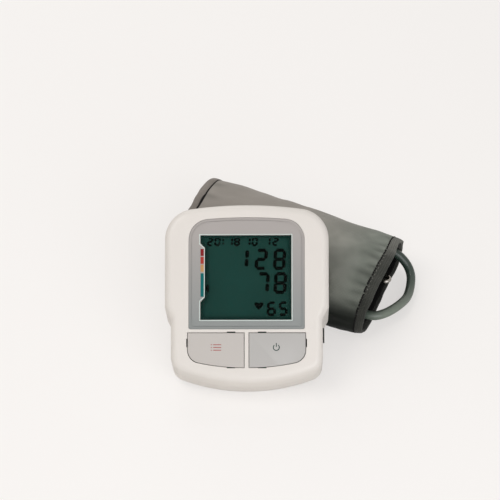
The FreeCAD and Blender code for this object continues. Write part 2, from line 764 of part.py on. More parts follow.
def battery_door():
    """Door flush with the base; ribs for the thumb and a tongue under the back ledge."""
    low_y = BAY_LOW + DOOR_GAP
    high_y = BAY_LOW + BAY_LENGTH + DOOR_LEDGE - DOOR_GAP
    half = BAY_HALF + DOOR_LEDGE - DOOR_GAP
    skin = DOOR_THICK - WALL / 2.0 - DOOR_GAP / 2.0
    door = box((-half, low_y, 0), (half, high_y, skin))
    core_half = BAY_HALF - DOOR_GAP - DOOR_CORE_GAP
    core = box(
        (-core_half, low_y + DOOR_TRAVEL + DOOR_CORE_GAP, 0),
        (core_half, BAY_LOW + BAY_LENGTH - DOOR_CORE_GAP, DOOR_THICK),
    )
    door = door.fuse(core)
    for index in range(GRIP_COUNT):
        y = low_y + GRIP_START + index * GRIP_PITCH
        door = door.cut(box((-GRIP_HALF, y, -CUT_MARGIN), (GRIP_HALF, y + GRIP_WIDTH, GRIP_DEPTH)))
    return door


# ---------------------------------------------------------------- air system
def pump_motor():
    """Motor can: a drawn cup with an end plate and bearing holes."""
    can = rod(CAN_RADIUS, CAN_LENGTH, (CAN_LEFT, PUMP_Y, PUMP_Z), X_AXIS)
    rims = [edge for edge in can.Edges if near(edge.BoundBox.XLength, 0.0)]
    can = can.makeChamfer(CAN_WALL, rims)
    inside = CAN_LENGTH - 2.0 * CAN_WALL
    hollow = rod(CAN_RADIUS - CAN_WALL, inside, (CAN_LEFT + CAN_WALL, PUMP_Y, PUMP_Z), X_AXIS)
    bearing = rod(SHAFT_RADIUS + SHAFT_CLEAR, REACH, (CAN_LEFT - CUT_MARGIN, PUMP_Y, PUMP_Z), X_AXIS)
    return can.cut(hollow).cut(bearing)


def motor_rotor():
    """Shaft with its slotted armature and the crank that works the diaphragms."""
    crank_start = CAN_LEFT - CRANK_THICK - CRANK_GAP
    shaft_length = CAN_LEFT + CAN_LENGTH + CRANK_GAP - crank_start
    shaft = rod(SHAFT_RADIUS, shaft_length, (crank_start, PUMP_Y, PUMP_Z), X_AXIS)
    core_length = CAN_LENGTH - 2.0 * ARMATURE_END_GAP
    core = rod(ARMATURE_RADIUS, core_length, (CAN_LEFT + ARMATURE_END_GAP, PUMP_Y, PUMP_Z), X_AXIS)
    for turn in range(ARMATURE_SLOTS):
        slot = box(
            (CAN_LEFT, -SLOT_HALF, ARMATURE_RADIUS - SLOT_DEPTH),
            (CAN_LEFT + CAN_LENGTH, SLOT_HALF, ARMATURE_RADIUS + CUT_MARGIN),
        )
        slot.rotate(Vector(0, 0, 0), X_AXIS, 360.0 / ARMATURE_SLOTS * turn)
        slot.translate(Vector(0, PUMP_Y, PUMP_Z))
        core = core.cut(slot)
    crank = rod(CRANK_RADIUS, CRANK_THICK, (crank_start, PUMP_Y, PUMP_Z), X_AXIS)
    pin_place = (crank_start - CRANK_PIN, PUMP_Y, PUMP_Z + CRANK_THROW)
    return shaft.fuse([core, crank, rod(SHAFT_RADIUS, CRANK_PIN, pin_place, X_AXIS)])


def pump_head():
    """Diaphragm block on the end of the motor, with its outlet nozzle."""
    start = CAN_LEFT - HEAD_LENGTH
    half = CAN_RADIUS - HEAD_INSET
    block = box((start, PUMP_Y - half, PUMP_Z - half), (CAN_LEFT, PUMP_Y + half, PUMP_Z + half))
    corners = [edge for edge in block.Edges if near(edge.BoundBox.XLength, HEAD_LENGTH)]
    block = block.makeFillet(HEAD_CORNER, corners)
    room_length = CRANK_GAP + CRANK_THICK + CRANK_PIN + CUT_MARGIN
    room = rod(CRANK_RADIUS + CRANK_GAP, room_length, (CAN_LEFT - room_length, PUMP_Y, PUMP_Z), X_AXIS)
    nozzle = rod(NOZZLE_RADIUS, NOZZLE_LENGTH, (start - NOZZLE_LENGTH, AIR_Y, AIR_Z), X_AXIS)
    return block.cut(room).fuse(nozzle)


def exhaust_valve():
    """Solenoid valve body standing on the floor behind the manifold, its port plugged in."""
    half = VALVE_SIDE / 2.0
    top = WALL + VALVE_HEIGHT
    body = box(
        (VALVE_X - half, VALVE_Y - half, WALL + FIT_GAP),
        (VALVE_X + half, VALVE_Y + half, top),
    )
    depth = PLUNGER_LENGTH + PLUNGER_TRAVEL + FIT_GAP
    bore = rod(PLUNGER_RADIUS + PLUNGER_CLEAR, depth, (VALVE_X, VALVE_Y, top - depth))
    port = rod(NOZZLE_RADIUS, NOZZLE_LENGTH, (VALVE_X, VALVE_Y - half - NOZZLE_LENGTH, AIR_Z), Y_AXIS)
    return body.cut(bore).fuse(port)


def valve_plunger():
    """Plunger with the flange that its spring pushes on."""
    foot = WALL + VALVE_HEIGHT - PLUNGER_LENGTH
    place = (VALVE_X, VALVE_Y, foot)
    stem = rod(PLUNGER_RADIUS - PLUNGER_NECK, PLUNGER_LENGTH + PLUNGER_RISE, place)
    slide = rod(PLUNGER_RADIUS, PLUNGER_LENGTH - CUT_MARGIN, place)
    cap_place = (VALVE_X, VALVE_Y, foot + PLUNGER_LENGTH + PLUNGER_RISE)
    return stem.fuse([slide, rod(PLUNGER_FLANGE, PLUNGER_CAP, cap_place)])


def manifold_roof():
    """Middle of the manifold's top."""
    return Vector(MANIFOLD_X, AIR_Y, AIR_Z + MANIFOLD_SIZE[2] / 2.0)


def face_normal():
    """Direction out of the sloping face, in the monitor's frame."""
    return FACE.Rotation.multVec(Z_AXIS)


def air_manifold():
    """Small block with nozzles that joins pump, valve, sensor and socket."""
    half_x, half_y, half_z = [size / 2.0 for size in MANIFOLD_SIZE]
    x, y, z = MANIFOLD_X, AIR_Y, AIR_Z
    block = box((x - half_x, y - half_y, z - half_z), (x + half_x, y + half_y, z + half_z))
    foot = box((x - half_x, y - half_y / 2.0, WALL + FIT_GAP), (x + half_x, y + half_y / 2.0, z))
    across_length = 2.0 * (half_x + NOZZLE_LENGTH)
    across = rod(NOZZLE_RADIUS, across_length, (x - half_x - NOZZLE_LENGTH, y, z), X_AXIS)
    up = rod(NOZZLE_RADIUS, half_z + NOZZLE_LENGTH, manifold_roof() - face_normal() * half_z, face_normal())
    port = rod(NOZZLE_RADIUS + FIT_GAP, half_y, (x, y + half_y - NOZZLE_LENGTH + VALVE_GAP, z), Y_AXIS)
    return block.fuse([foot, across, up]).cut(port)


def socket_start():
    """Outer face of the hose socket."""
    return -HIGH_HALF - AIR_PROUD


def air_socket():
    """Hose socket through the left wall, a flanged tube with a blind bore."""
    start = socket_start()
    flange = rod(AIR_OUTER, AIR_PROUD, (start, AIR_Y, AIR_Z), X_AXIS)
    barrel = rod(AIR_OUTER - AIR_FLANGE - FIT_GAP, AIR_DEPTH + AIR_END, (start, AIR_Y, AIR_Z), X_AXIS)
    tail = rod(NOZZLE_RADIUS, NOZZLE_LENGTH, (start + AIR_DEPTH + AIR_END, AIR_Y, AIR_Z), X_AXIS)
    bore = rod(AIR_BORE, AIR_DEPTH, (start, AIR_Y, AIR_Z), X_AXIS)
    return flange.fuse([barrel, tail]).cut(bore)


def adapter_jack():
    """Mains adapter jack set in a slot of the right wall."""
    face = LOW_HALF - JACK_SUNK
    body = box(
        (face - JACK_DEPTH, JACK_Y - JACK_LENGTH / 2.0, JACK_Z - JACK_HEIGHT / 2.0),
        (face, JACK_Y + JACK_LENGTH / 2.0, JACK_Z + JACK_HEIGHT / 2.0),
    )
    depth = JACK_DEPTH - JACK_END
    bore = rod(JACK_BORE, depth, (face - depth, JACK_Y, JACK_Z), X_AXIS)
    chamber = rod(JACK_CHAMBER_RADIUS, JACK_CHAMBER, (face - depth, JACK_Y, JACK_Z), X_AXIS)
    return body.cut(bore.fuse(chamber))


def sensor_place():
    """Plan place of the sensor in the face frame, straight above the manifold's nozzle."""
    place = FACE.inverse().multVec(manifold_roof())
    return place.x, place.y


def pressure_sensor():
    """Sensor under the board with its nozzle pointing down at the manifold."""
    half_x, half_y = SENSOR_SIZE[0] / 2.0, SENSOR_SIZE[1] / 2.0
    x, y = sensor_place()
    top = -BOARD_DEPTH - BOARD_THICK
    low = top - SENSOR_SIZE[2]
    body = box((x - half_x, y - half_y, low), (x + half_x, y + half_y, top))
    return body.fuse(rod(NOZZLE_RADIUS, NOZZLE_LENGTH, (x, y, low - NOZZLE_LENGTH)))


def buzzer():
    """Round sounder under the board."""
    x, y = BUZZER_PLACE
    return rod(BUZZER_RADIUS, BUZZER_HEIGHT, (x, y, -BOARD_DEPTH - BOARD_THICK - BUZZER_HEIGHT))


def inner_tubes():
    """Silicone tubes pushed over facing nozzles: socket, manifold, pump and sensor."""
    slip = NOZZLE_LENGTH - TUBE_OVERLAP
    half_x = MANIFOLD_SIZE[0] / 2.0
    socket_nozzle = socket_start() + AIR_DEPTH + AIR_END
    head_nozzle = CAN_LEFT - HEAD_LENGTH
    sensor_x, sensor_y = sensor_place()
    sensor_low = -BOARD_DEPTH - BOARD_THICK - SENSOR_SIZE[2]
    runs = [
        (Vector(socket_nozzle + slip, AIR_Y, AIR_Z), Vector(MANIFOLD_X - half_x - slip, AIR_Y, AIR_Z)),
        (Vector(MANIFOLD_X + half_x + slip, AIR_Y, AIR_Z), Vector(head_nozzle - slip, AIR_Y, AIR_Z)),
        (manifold_roof() + face_normal() * slip, FACE.multVec(Vector(sensor_x, sensor_y, sensor_low - slip))),
    ]
    tubes = []
    for start, end in runs:
        run = end - start
        sleeve = Part.makeCylinder(TUBE_RADIUS, run.Length, start, run)
        tubes.append(sleeve.cut(Part.makeCylinder(NOZZLE_RADIUS + TUBE_SLACK, run.Length, start, run)))
    return Part.makeCompound(tubes)


# ---------------------------------------------------------------- tubes
def tube_along(points, radius):
    """Round tube along straight runs joined by tangent arcs; returns solid, length, radii."""
    points = [Vector(*point) for point in points]
    edges = []
    radii = []
    start = points[0]
    for before, here, after in zip(points, points[1:], points[2:]):
        into = (here - before).normalize()
        out = (after - here).normalize()
        turn = into.getAngle(out)
        shorter = min(here.distanceToPoint(before), here.distanceToPoint(after))
        setback = HOSE_SHARE * shorter
        bend = setback / math.tan(turn / 2.0)
        first = here - into * setback
        last = here + out * setback
        inward = (out - into).normalize()
        middle = here + inward * (bend / math.cos(turn / 2.0) - bend)
        edges.append(Part.makeLine(start, first))
        edges.append(Part.Arc(first, middle, last).toShape())
        radii.append(bend)
        start = last
    edges.append(Part.makeLine(start, points[-1]))
    path = Part.Wire(edges)
    direction = (points[1] - points[0]).normalize()
    profile = Part.Wire(Part.makeCircle(radius, points[0], direction))
    tube = path.makePipeShell([profile], True, False)
    return tube, path.Length, radii


def cuff_hose():
    """Air hose from the cuff, out of the roll in a loop and back inside it."""
    tube, length, radii = tube_along(HOSE_ROUTE, HOSE_RADIUS)
    ideal = math.pi * HOSE_RADIUS ** 2 * length
    print(f"hose length {length:.1f}  volume ratio {tube.Volume / ideal:.5f}")
    print("hose bend radii", [round(value, 1) for value in radii])
    return tube


def hose_grommet():
    """Moulded neck on the inner ply that the hose is pushed into."""
    start = Vector(*HOSE_ROUTE[0])
    direction = (Vector(*HOSE_ROUTE[1]) - start).normalize()
    low = sleeve_wall() + PLY_GAP
    back = start - direction * GROMMET_LENGTH
    neck = Part.makeCone(GROMMET_RADIUS, HOSE_RADIUS + GROMMET_LIP, GROMMET_LENGTH, back, direction)
    pad = box(
        (start.x - PAD_START - PAD_LENGTH, start.y - PAD_HALF, low),
        (start.x - PAD_START, start.y + PAD_HALF, low + PAD_THICK),
    )
    return neck.fuse(pad)


def hose_plug():
    """Connector on the free end: ribbed grip and a tapered nose for the socket."""
    end = Vector(*HOSE_ROUTE[-1])
    direction = (end - Vector(*HOSE_ROUTE[-2])).normalize()
    grip = Part.makeCylinder(PLUG_RADIUS, PLUG_LENGTH, end, direction)
    rings = []
    for index in range(PLUG_RINGS):
        spot = end + direction * (PLUG_RING_START + index * PLUG_RING_PITCH)
        rings.append(Part.makeCylinder(PLUG_RADIUS + PLUG_RING, PLUG_RING_WIDTH, spot, direction))
    nose = Part.makeCylinder(PLUG_NOSE_RADIUS, PLUG_NOSE, end + direction * PLUG_LENGTH, direction)
    return grip.fuse(rings + [nose])


# ---------------------------------------------------------------- cuff
def sleeve_wall():
    """Thickness of the whole sleeve: outer ply, bladder, inner ply and their gaps."""
    return 2.0 * (PLY + PLY_GAP) + BLADDER_THICK


def rounded(inset, radius):
    """Corner radius of the roll moved in by an inset."""
    return max(radius - inset, LEAST_RADIUS)


def roll_section(inset, x):
    """Flattened roll outline in the plane across the arm at x, moved in by inset."""
    half = ROLL_WIDTH / 2.0 - inset
    low = inset
    high = ROLL_HEIGHT - inset
    corners = [
        (half, low, 1.0, -1.0, rounded(inset, ROLL_FOOT_RADIUS)),
        (half, high, 1.0, 1.0, rounded(inset, ROLL_TOP_RADIUS)),
        (-half, high, -1.0, 1.0, rounded(inset, ROLL_NOSE_RADIUS)),
        (-half, low, -1.0, -1.0, rounded(inset, ROLL_FOOT_RADIUS)),
    ]
    diag = 1.0 - math.sqrt(0.5)
    arcs = []
    for y, z, side, rise, radius in corners:
        beside = Vector(x, y - side * radius, z)
        above = Vector(x, y, z - rise * radius)
        middle = Vector(x, y - side * radius * diag, z - rise * radius * diag)
        first, last = (beside, above) if side * rise < 0.0 else (above, beside)
        arcs.append((first, middle, last))
    edges = []
    for index, (first, middle, last) in enumerate(arcs):
        edges.append(Part.Arc(first, middle, last).toShape())
        edges.append(Part.makeLine(last, arcs[(index + 1) % len(arcs)][0]))
    return Part.Wire(edges)


def roll_tube(outer, inner, start, end):
    """Ring of fabric between two insets, from start to end along the arm."""
    length = Vector(end - start, 0, 0)
    solid = Part.Face(roll_section(outer, start)).extrude(length)
    return solid.cut(Part.Face(roll_section(inner, start)).extrude(length))


def pressed(shape):
    """Cuff piece in the table frame, pressed down where the monitor's base lies on it."""
    slab = box((-BIG, -BIG, -PRESS_GAP), (HIGH_HALF + PRESS_GAP, CASE_LENGTH + PRESS_GAP, BIG))
    proud = FOOT_THICK - FOOT_SUNK + PRESS_GAP
    dimples = [rod(FOOT_RADIUS + PRESS_GAP, proud, (x, y, -proud)) for x, y in foot_places()]
    press = moved(slab.fuse(dimples), MONITOR)
    return moved(shape, CUFF).cut(press)


def cuff_layers():
    """Outer wrap, bladder and inner wrap of the roll, each clear of the next."""
    half = CUFF_LENGTH / 2.0
    bladder_half = half - BLADDER_MARGIN
    bladder_in = PLY + PLY_GAP
    bladder_out = bladder_in + BLADDER_THICK
    outer_wrap = roll_tube(0.0, PLY, -half, half)
    bladder = roll_tube(bladder_in, bladder_out, -bladder_half, bladder_half)
    lower_half = box((-BIG, -BIG, -BIG), (BIG, BIG, ROLL_HEIGHT / 2.0))
    inner_wrap = roll_tube(bladder_out + PLY_GAP, sleeve_wall(), -half, half)
    return pressed(outer_wrap), moved(bladder.common(lower_half), CUFF), moved(inner_wrap, CUFF)


def d_ring():
    """Long wire loop that the cuff is threaded through, under the inner ply."""
    half = CUFF_LENGTH / 2.0 + RING_REACH - RING_WIRE
    right = half + RING_SHIFT
    left = RING_SHIFT - half
    wide = RING_WIDTH / 2.0
    z = ROLL_HEIGHT - sleeve_wall() - PLY_GAP - RING_WIRE
    corners = [(right, wide), (left, wide), (left, -wide), (right, -wide)]
    outline = Part.makePolygon([Vector(x, RING_Y + y, z) for x, y in corners + corners[:1]])
    plate = Part.Face(outline).extrude(Z_AXIS)
    for x, y in corners:
        plate = plate.makeFillet(RING_CORNER, upright_at(plate, x, RING_Y + y))
    path = Part.Wire(Part.__sortEdges__([edge for edge in plate.Edges if near(edge.BoundBox.ZMax, z)]))
    start = path.Edges[0]
    point = start.valueAt(start.FirstParameter)
    tangent = start.tangentAt(start.FirstParameter)
    profile = Part.Wire(Part.makeCircle(RING_WIRE, point, tangent))
    return moved(path.makePipeShell([profile], True, False), CUFF)


# ---------------------------------------------------------------- build
def build():
    """Build and write every node."""
    top, bottom, inner = shell_parts()
    in_monitor = {
        "top_cover": top_cover(top, inner),
        "bottom_cover": bottom_cover(bottom),
        "case_screws": case_screws(),
        "rubber_feet": rubber_feet(),
        "batteries": batteries(),
        "battery_contacts": battery_contacts(),
        "battery_door": battery_door(),
        "pump_motor": pump_motor(),
        "motor_rotor": motor_rotor(),
        "pump_head": pump_head(),
        "exhaust_valve": exhaust_valve(),
        "valve_plunger": valve_plunger(),
        "air_manifold": air_manifold(),
        "air_socket": air_socket(),
        "adapter_jack": adapter_jack(),
        "inner_tubes": inner_tubes(),
    }
    in_face = {
        "face_panel": face_panel(),
        "display_lens": display_lens(),
        "lcd_glass": lcd_glass(),
        "lcd_frame": lcd_frame(),
        "zebra_strip": zebra_strip(),
        "memory_button": key_cap(-1),
        "start_button": key_cap(1),
        "tact_switches": tact_switches(),
        "main_board": main_board(),
        "board_screws": board_screws(),
        "pressure_sensor": pressure_sensor(),
        "buzzer": buzzer(),
    }
    in_cuff = {
        "cuff_hose": cuff_hose(),
        "hose_grommet": hose_grommet(),
        "hose_plug": hose_plug(),
    }
    outer_wrap, bladder, inner_wrap = cuff_layers()
    on_table = {
        "cuff_outer_wrap": outer_wrap,
        "cuff_bladder": bladder,
        "cuff_inner_wrap": inner_wrap,
        "d_ring": d_ring(),
    }
    nodes = {name: moved(shape, MONITOR) for name, shape in in_monitor.items()}
    nodes.update({name: moved(moved(shape, FACE), MONITOR) for name, shape in in_face.items()})
    nodes.update({name: moved(shape, CUFF) for name, shape in in_cuff.items()})
    nodes.update(on_table)
    return {name: write(name, shape) for name, shape in nodes.items()}


build()
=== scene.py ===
import logging
import math
from dataclasses import dataclass, field
from enum import Enum

import bmesh
import bpy
from bmesh.types import BMEdge, BMesh, BMVert
from bpy.types import ID, Material, Node, NodeSocket, NodeTree, Object
from mathutils import Matrix, Vector
from mathutils.bvhtree import BVHTree


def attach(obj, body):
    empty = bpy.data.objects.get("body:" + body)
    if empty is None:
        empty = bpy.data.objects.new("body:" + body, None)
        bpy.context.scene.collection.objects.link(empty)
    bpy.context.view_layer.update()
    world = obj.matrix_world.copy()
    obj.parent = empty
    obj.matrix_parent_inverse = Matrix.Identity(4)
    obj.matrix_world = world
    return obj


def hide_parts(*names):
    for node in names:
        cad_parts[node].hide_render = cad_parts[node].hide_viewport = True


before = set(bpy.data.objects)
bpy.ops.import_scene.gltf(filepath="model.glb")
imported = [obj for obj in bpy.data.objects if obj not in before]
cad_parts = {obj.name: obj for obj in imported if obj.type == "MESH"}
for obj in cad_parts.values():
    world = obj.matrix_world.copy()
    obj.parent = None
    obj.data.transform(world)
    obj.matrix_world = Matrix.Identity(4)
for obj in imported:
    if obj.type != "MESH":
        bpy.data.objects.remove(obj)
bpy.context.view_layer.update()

MM = 0.001
LOG = logging.getLogger("monitor")

# The casing leans back about its front lower edge; the cuff lies turned behind it.
LEAN = math.radians(27.0)
FACE_SLOPE = math.radians(15.0)
FRONT_HEIGHT = 28.0 * MM
CUFF_TURN = math.radians(-24.0)
MONITOR = Matrix.Translation((-29.74 * MM, -95.8 * MM, -1.035 * MM)) @ Matrix.Rotation(LEAN, 4, "X")
FACE = MONITOR @ Matrix.Translation((0.0, 0.0, FRONT_HEIGHT)) @ Matrix.Rotation(FACE_SLOPE, 4, "X")
CUFF = Matrix.Translation((0.0, 30.48 * MM, 0.0)) @ Matrix.Rotation(CUFF_TURN, 4, "Z")

WELD = 0.002 * MM          # CAD corners nearer than this are one
SKIN_ANGLE = 24.0          # a CAD edge that turns more than this stays crisp
ALL_SMOOTH = 180.0
IN_PLACE = Matrix.Identity(4)


# ---------------------------------------------------------------- small helpers
def linear(hex_colour: str, share: float = 1.0) -> tuple[float, float, float, float]:
    """Turn an sRGB hex value to linear.

    Args:
        hex_colour: six hex digits after a hash sign.
        share: how much of its light stays.

    Returns:
        Red, green, blue and an alpha of one.
    """
    parts = [int(hex_colour[i:i + 2], 16) / 255.0 for i in (1, 3, 5)]
    turned = [c / 12.92 if c <= 0.04045 else ((c + 0.055) / 1.055) ** 2.4 for c in parts]
    return (*(c * share for c in turned), 1.0)


def set_inputs(tree: NodeTree, node: Node, inputs: dict) -> None:
    """Give a node's inputs their values and links.

    Args:
        tree: the node tree that holds the node.
        node: the node.
        inputs: socket name or number to a value, or to the output socket that feeds it.
    """
    for name, value in inputs.items():
        if isinstance(value, NodeSocket):
            tree.links.new(value, node.inputs[name])
        else:
            node.inputs[name].default_value = value


def add_node(tree: NodeTree, kind: str, inputs: dict | None = None, **settings) -> Node:
    """Add one node with its settings, values and links.

    Args:
        tree: the node tree that gets the node.
        kind: Blender's name for the node type.
        inputs: socket name or number to a value, or to the output socket that feeds it.
        **settings: properties of the node.

    Returns:
        The new node.
    """
    node = tree.nodes.new(kind)
    for name, value in settings.items():
        setattr(node, name, value)
    set_inputs(tree, node, inputs or {})
    return node


def per_mm(size_mm: float) -> float:
    """Return the texture scale at which one feature is size_mm across."""
    return 1.0 / (size_mm * MM)


def add_object(name: str, data: ID) -> Object:
    """Put a new object in the scene.

    Args:
        name: its name.
        data: its mesh, curve, camera or lamp.

    Returns:
        The object.
    """
    made = bpy.data.objects.new(name, data)
    bpy.context.scene.collection.objects.link(made)
    return made


def mesh_object(name: str, shape: BMesh, smooth: float | None) -> Object:
    """Turn a bmesh into an object.

    Args:
        name: the piece's name.
        shape: the geometry, freed here.
        smooth: the angle in degrees under which edges shade smooth, or None for flat.

    Returns:
        The new object, linked to the scene.
    """
    if smooth is not None:
        limit = math.radians(smooth)
        for face in shape.faces:
            face.smooth = True
        for edge in shape.edges:
            edge.smooth = len(edge.link_faces) == 2 and edge.calc_face_angle(0.0) < limit
    mesh = bpy.data.meshes.new(name)
    shape.to_mesh(mesh)
    shape.free()
    return add_object(name, mesh)


def finish_mesh(
        name: str, shape: BMesh, place: Matrix, smooth: float | None = 30.0) -> Object:
    """Turn a bmesh into a finished object at the origin.

    Args:
        name: the piece's name.
        shape: the geometry, freed here.
        place: the matrix that carries it to the table frame.
        smooth: the angle in degrees under which edges shade smooth, or None for flat.

    Returns:
        The new object, linked to the scene.
    """
    bmesh.ops.transform(shape, matrix=place, verts=shape.verts)
    bmesh.ops.recalc_face_normals(shape, faces=shape.faces)
    return mesh_object(name, shape, smooth)


def modify(piece: Object, name: str, kind: str, **settings) -> None:
    """Give a piece one modifier.

    Args:
        piece: the object.
        name: the modifier's name.
        kind: Blender's name for its type.
        **settings: its properties.
    """
    modifier = piece.modifiers.new(name, kind)
    for setting, value in settings.items():
        setattr(modifier, setting, value)


def dress(
        piece: Object, material: Material,
        body: str | None = "root") -> Object:
    """Give a piece its material in every slot and the body that it rides on, and report it.

    Args:
        piece: the object.
        material: the material for all of its slots.
        body: the body that carries it, or None for a CAD node.

    Returns:
        The same object.
    """
    slots = max(1, len(piece.material_slots))
    piece.data.materials.clear()
    for _ in range(slots):
        piece.data.materials.append(material)
    if body is not None:
        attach(piece, body)
    LOG.info("%s in %s", piece.name, material.name)
    return piece


def smooth_copy(node: str, body: str, material: Material) -> Object:
    """Merge a CAD node's triangles into a smooth-shaded copy that stands for it.

    Args:
        node: the CAD node's name.
        body: the body that carries it.
        material: the finish.

    Returns:
        The copy.
    """
    shape = bmesh.new()
    shape.from_mesh(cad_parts[node].data)
    bmesh.ops.remove_doubles(shape, verts=shape.verts, dist=WELD)
    bmesh.ops.dissolve_degenerate(shape, edges=shape.edges, dist=WELD / 2.0)
    for face in shape.faces:
        face.material_index = 0
    piece = mesh_object(node + "_skin", shape, SKIN_ANGLE)
    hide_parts(node)
    return dress(piece, material, body)


# ---------------------------------------------------------------- finishes
@dataclass(frozen=True)
class Finish:
    """One stuff with one surface, built into a material from its own nodes."""

    name: str
    colour: str

    def build(self) -> Material:
        """Make the material.

        Returns:
            The material, its shader's inputs set by the finish.
        """
        material = bpy.data.materials.new(self.name)
        material.use_nodes = True
        tree = material.node_tree
        where = add_node(tree, "ShaderNodeTexCoord")
        set_inputs(tree, tree.nodes["Principled BSDF"], self.surface(tree, where))
        return material

    def surface(self, tree: NodeTree, where: Node) -> dict:
        """Add the nodes of the finish.

        Args:
            tree: the material's node tree.
            where: its texture coordinates.

        Returns:
            The shader's inputs, by name.
        """
        raise NotImplementedError


@dataclass(frozen=True)
class MouldedPlastic(Finish):
    """Injection-moulded plastic: a fine spark-eroded grain breaks the gloss."""

    roughness: float = 0.42
    grain_mm: float = 0.5      # real grit is 0.1 mm; coarser so that it shows
    grain_depth_mm: float = 0.012
    shade_range: float = 0.03
    coat: float = 0.0
    metallic: float = 0.0
    shine: float = 0.5
    foot_shade: str | None = None   # painted shade: darker and cooler towards the low end of the face
    foot_mm: tuple[float, float] = (44.0, 112.0)
    broad_mm: float = 38.0     # the sinks and flow marks of a large moulding
    gloss_swing: float = 0.05

    def surface(self, tree: NodeTree, where: Node) -> dict:
        """Add the grain, a broad faint unevenness and a painted shade towards the face's foot.

        Args:
            tree: the material's node tree.
            where: its texture coordinates.

        Returns:
            The shader's inputs, by name.
        """
        broad = add_node(tree, "ShaderNodeTexNoise", {
            "Vector": where.outputs["Object"], "Scale": per_mm(self.broad_mm), "Detail": 2.0})
        grain = add_node(tree, "ShaderNodeTexNoise", {
            "Vector": where.outputs["Object"], "Scale": per_mm(self.grain_mm), "Detail": 3.0})
        tint = add_node(tree, "ShaderNodeMix", {
            "Factor": broad.outputs["Fac"], 6: linear(self.colour, 1.0 - self.shade_range),
            7: linear(self.colour)}, data_type="RGBA")
        # Painted shade: the colour darkens and cools towards the foot of the face.
        if self.foot_shade is not None:
            climb = FACE.to_3x3() @ Vector((0.0, 1.0, 0.0))
            start, end = (climb.dot(FACE.translation) + place * MM for place in self.foot_mm)
            up = add_node(tree, "ShaderNodeVectorMath", {
                0: where.outputs["Object"], 1: climb}, operation="DOT_PRODUCT")
            share = add_node(tree, "ShaderNodeMapRange", {
                "Value": up.outputs["Value"], "From Min": start, "From Max": end})
            tint = add_node(tree, "ShaderNodeMix", {
                "Factor": share.outputs["Result"], 6: linear(self.foot_shade), 7: tint.outputs[2]},
                data_type="RGBA")
        gloss = add_node(tree, "ShaderNodeMapRange", {
            "Value": grain.outputs["Fac"], "To Min": self.roughness - self.gloss_swing,
            "To Max": self.roughness + self.gloss_swing})
        bump = add_node(tree, "ShaderNodeBump", {
            "Height": grain.outputs["Fac"], "Distance": self.grain_depth_mm * MM, "Strength": 0.6})
        return {
            "Base Color": tint.outputs[2], "Roughness": gloss.outputs["Result"],
            "Normal": bump.outputs["Normal"], "Metallic": self.metallic, "IOR": 1.52,
            "Specular IOR Level": self.shine, "Coat Weight": self.coat}


@dataclass(frozen=True)
class ClearAcrylic(Finish):
    """Tinted cast acrylic window: mostly open to light, polished, with a whisper of surface ripple."""

    name: str = "tinted acrylic"
    colour: str = "#06100D"
    cover: float = 0.22
    roughness: float = 0.06
    ripple_mm: float = 25.0

    def surface(self, tree: NodeTree, where: Node) -> dict:
        """Add the ripple.

        Args:
            tree: the material's node tree.
            where: its texture coordinates.

        Returns:
            The shader's inputs, by name.
        """
        ripple = add_node(tree, "ShaderNodeTexNoise", {
            "Vector": where.outputs["Object"], "Scale": per_mm(self.ripple_mm), "Detail": 1.0})
        bump = add_node(tree, "ShaderNodeBump", {
            "Height": ripple.outputs["Fac"], "Distance": 0.01 * MM, "Strength": 0.2})
        return {
            "Base Color": linear(self.colour), "Roughness": self.roughness, "Specular IOR Level": 0.1,
            "Alpha": self.cover, "Normal": bump.outputs["Normal"]}


@dataclass(frozen=True)
class LiquidCrystal(Finish):
    """Liquid crystal glass over a teal reflector with a faint cell speckle."""

    name: str = "teal liquid crystal"
    colour: str = "#245D54"
    deep: str = "#1D5148"
    cloud_mm: float = 30.0
    speck_mm: float = 1.0      # real cells are 0.05 mm; coarser so that they show

    def surface(self, tree: NodeTree, where: Node) -> dict:
        """Add clouds and the speckle over them.

        Args:
            tree: the material's node tree.
            where: its texture coordinates.

        Returns:
            The shader's inputs, by name.
        """
        cloud, speck = (
            add_node(tree, "ShaderNodeTexNoise", {
                "Vector": where.outputs["Object"], "Scale": per_mm(size), "Detail": 2.0})
            for size in (self.cloud_mm, self.speck_mm))
        both = add_node(tree, "ShaderNodeMath", {
            0: cloud.outputs["Fac"], 1: speck.outputs["Fac"]}, operation="MULTIPLY")
        spread = add_node(tree, "ShaderNodeMapRange", {
            "Value": both.outputs["Value"], "From Min": 0.12, "From Max": 0.4})
        tint = add_node(tree, "ShaderNodeMix", {
            "Factor": spread.outputs["Result"], 6: linear(self.deep), 7: linear(self.colour)},
            data_type="RGBA")
        return {"Base Color": tint.outputs[2], "Roughness": 0.55, "Specular IOR Level": 0.15}


GIRTH_MM = 247.6
# Painted shade: how much of the deep green grey shows, by the share of the way round the roll from the middle
# of its underside; the lit top keeps the cloth's colour, the front foot and the underside go dark.
ROLL_SHADE = (
    (0.0, 0.8), (0.12, 0.8), (0.2, 0.5), (0.28, 0.22), (0.34, 0.0), (0.43, 0.0), (0.5, 0.09), (0.58, 0.17),
    (0.655, 0.17), (0.685, 0.34), (0.712, 0.78), (0.74, 1.0), (0.9, 1.0), (1.0, 0.8),
)

# The same painted shade for the binding of the right end, which darkens sooner.
BAND_SHADE = (
    (0.0, 0.8), (0.12, 0.8), (0.3, 0.3), (0.36, 0.08), (0.42, 0.1), (0.455, 0.4), (0.49, 0.74), (0.62, 0.72),
    (0.7, 0.84), (1.0, 0.8),
)


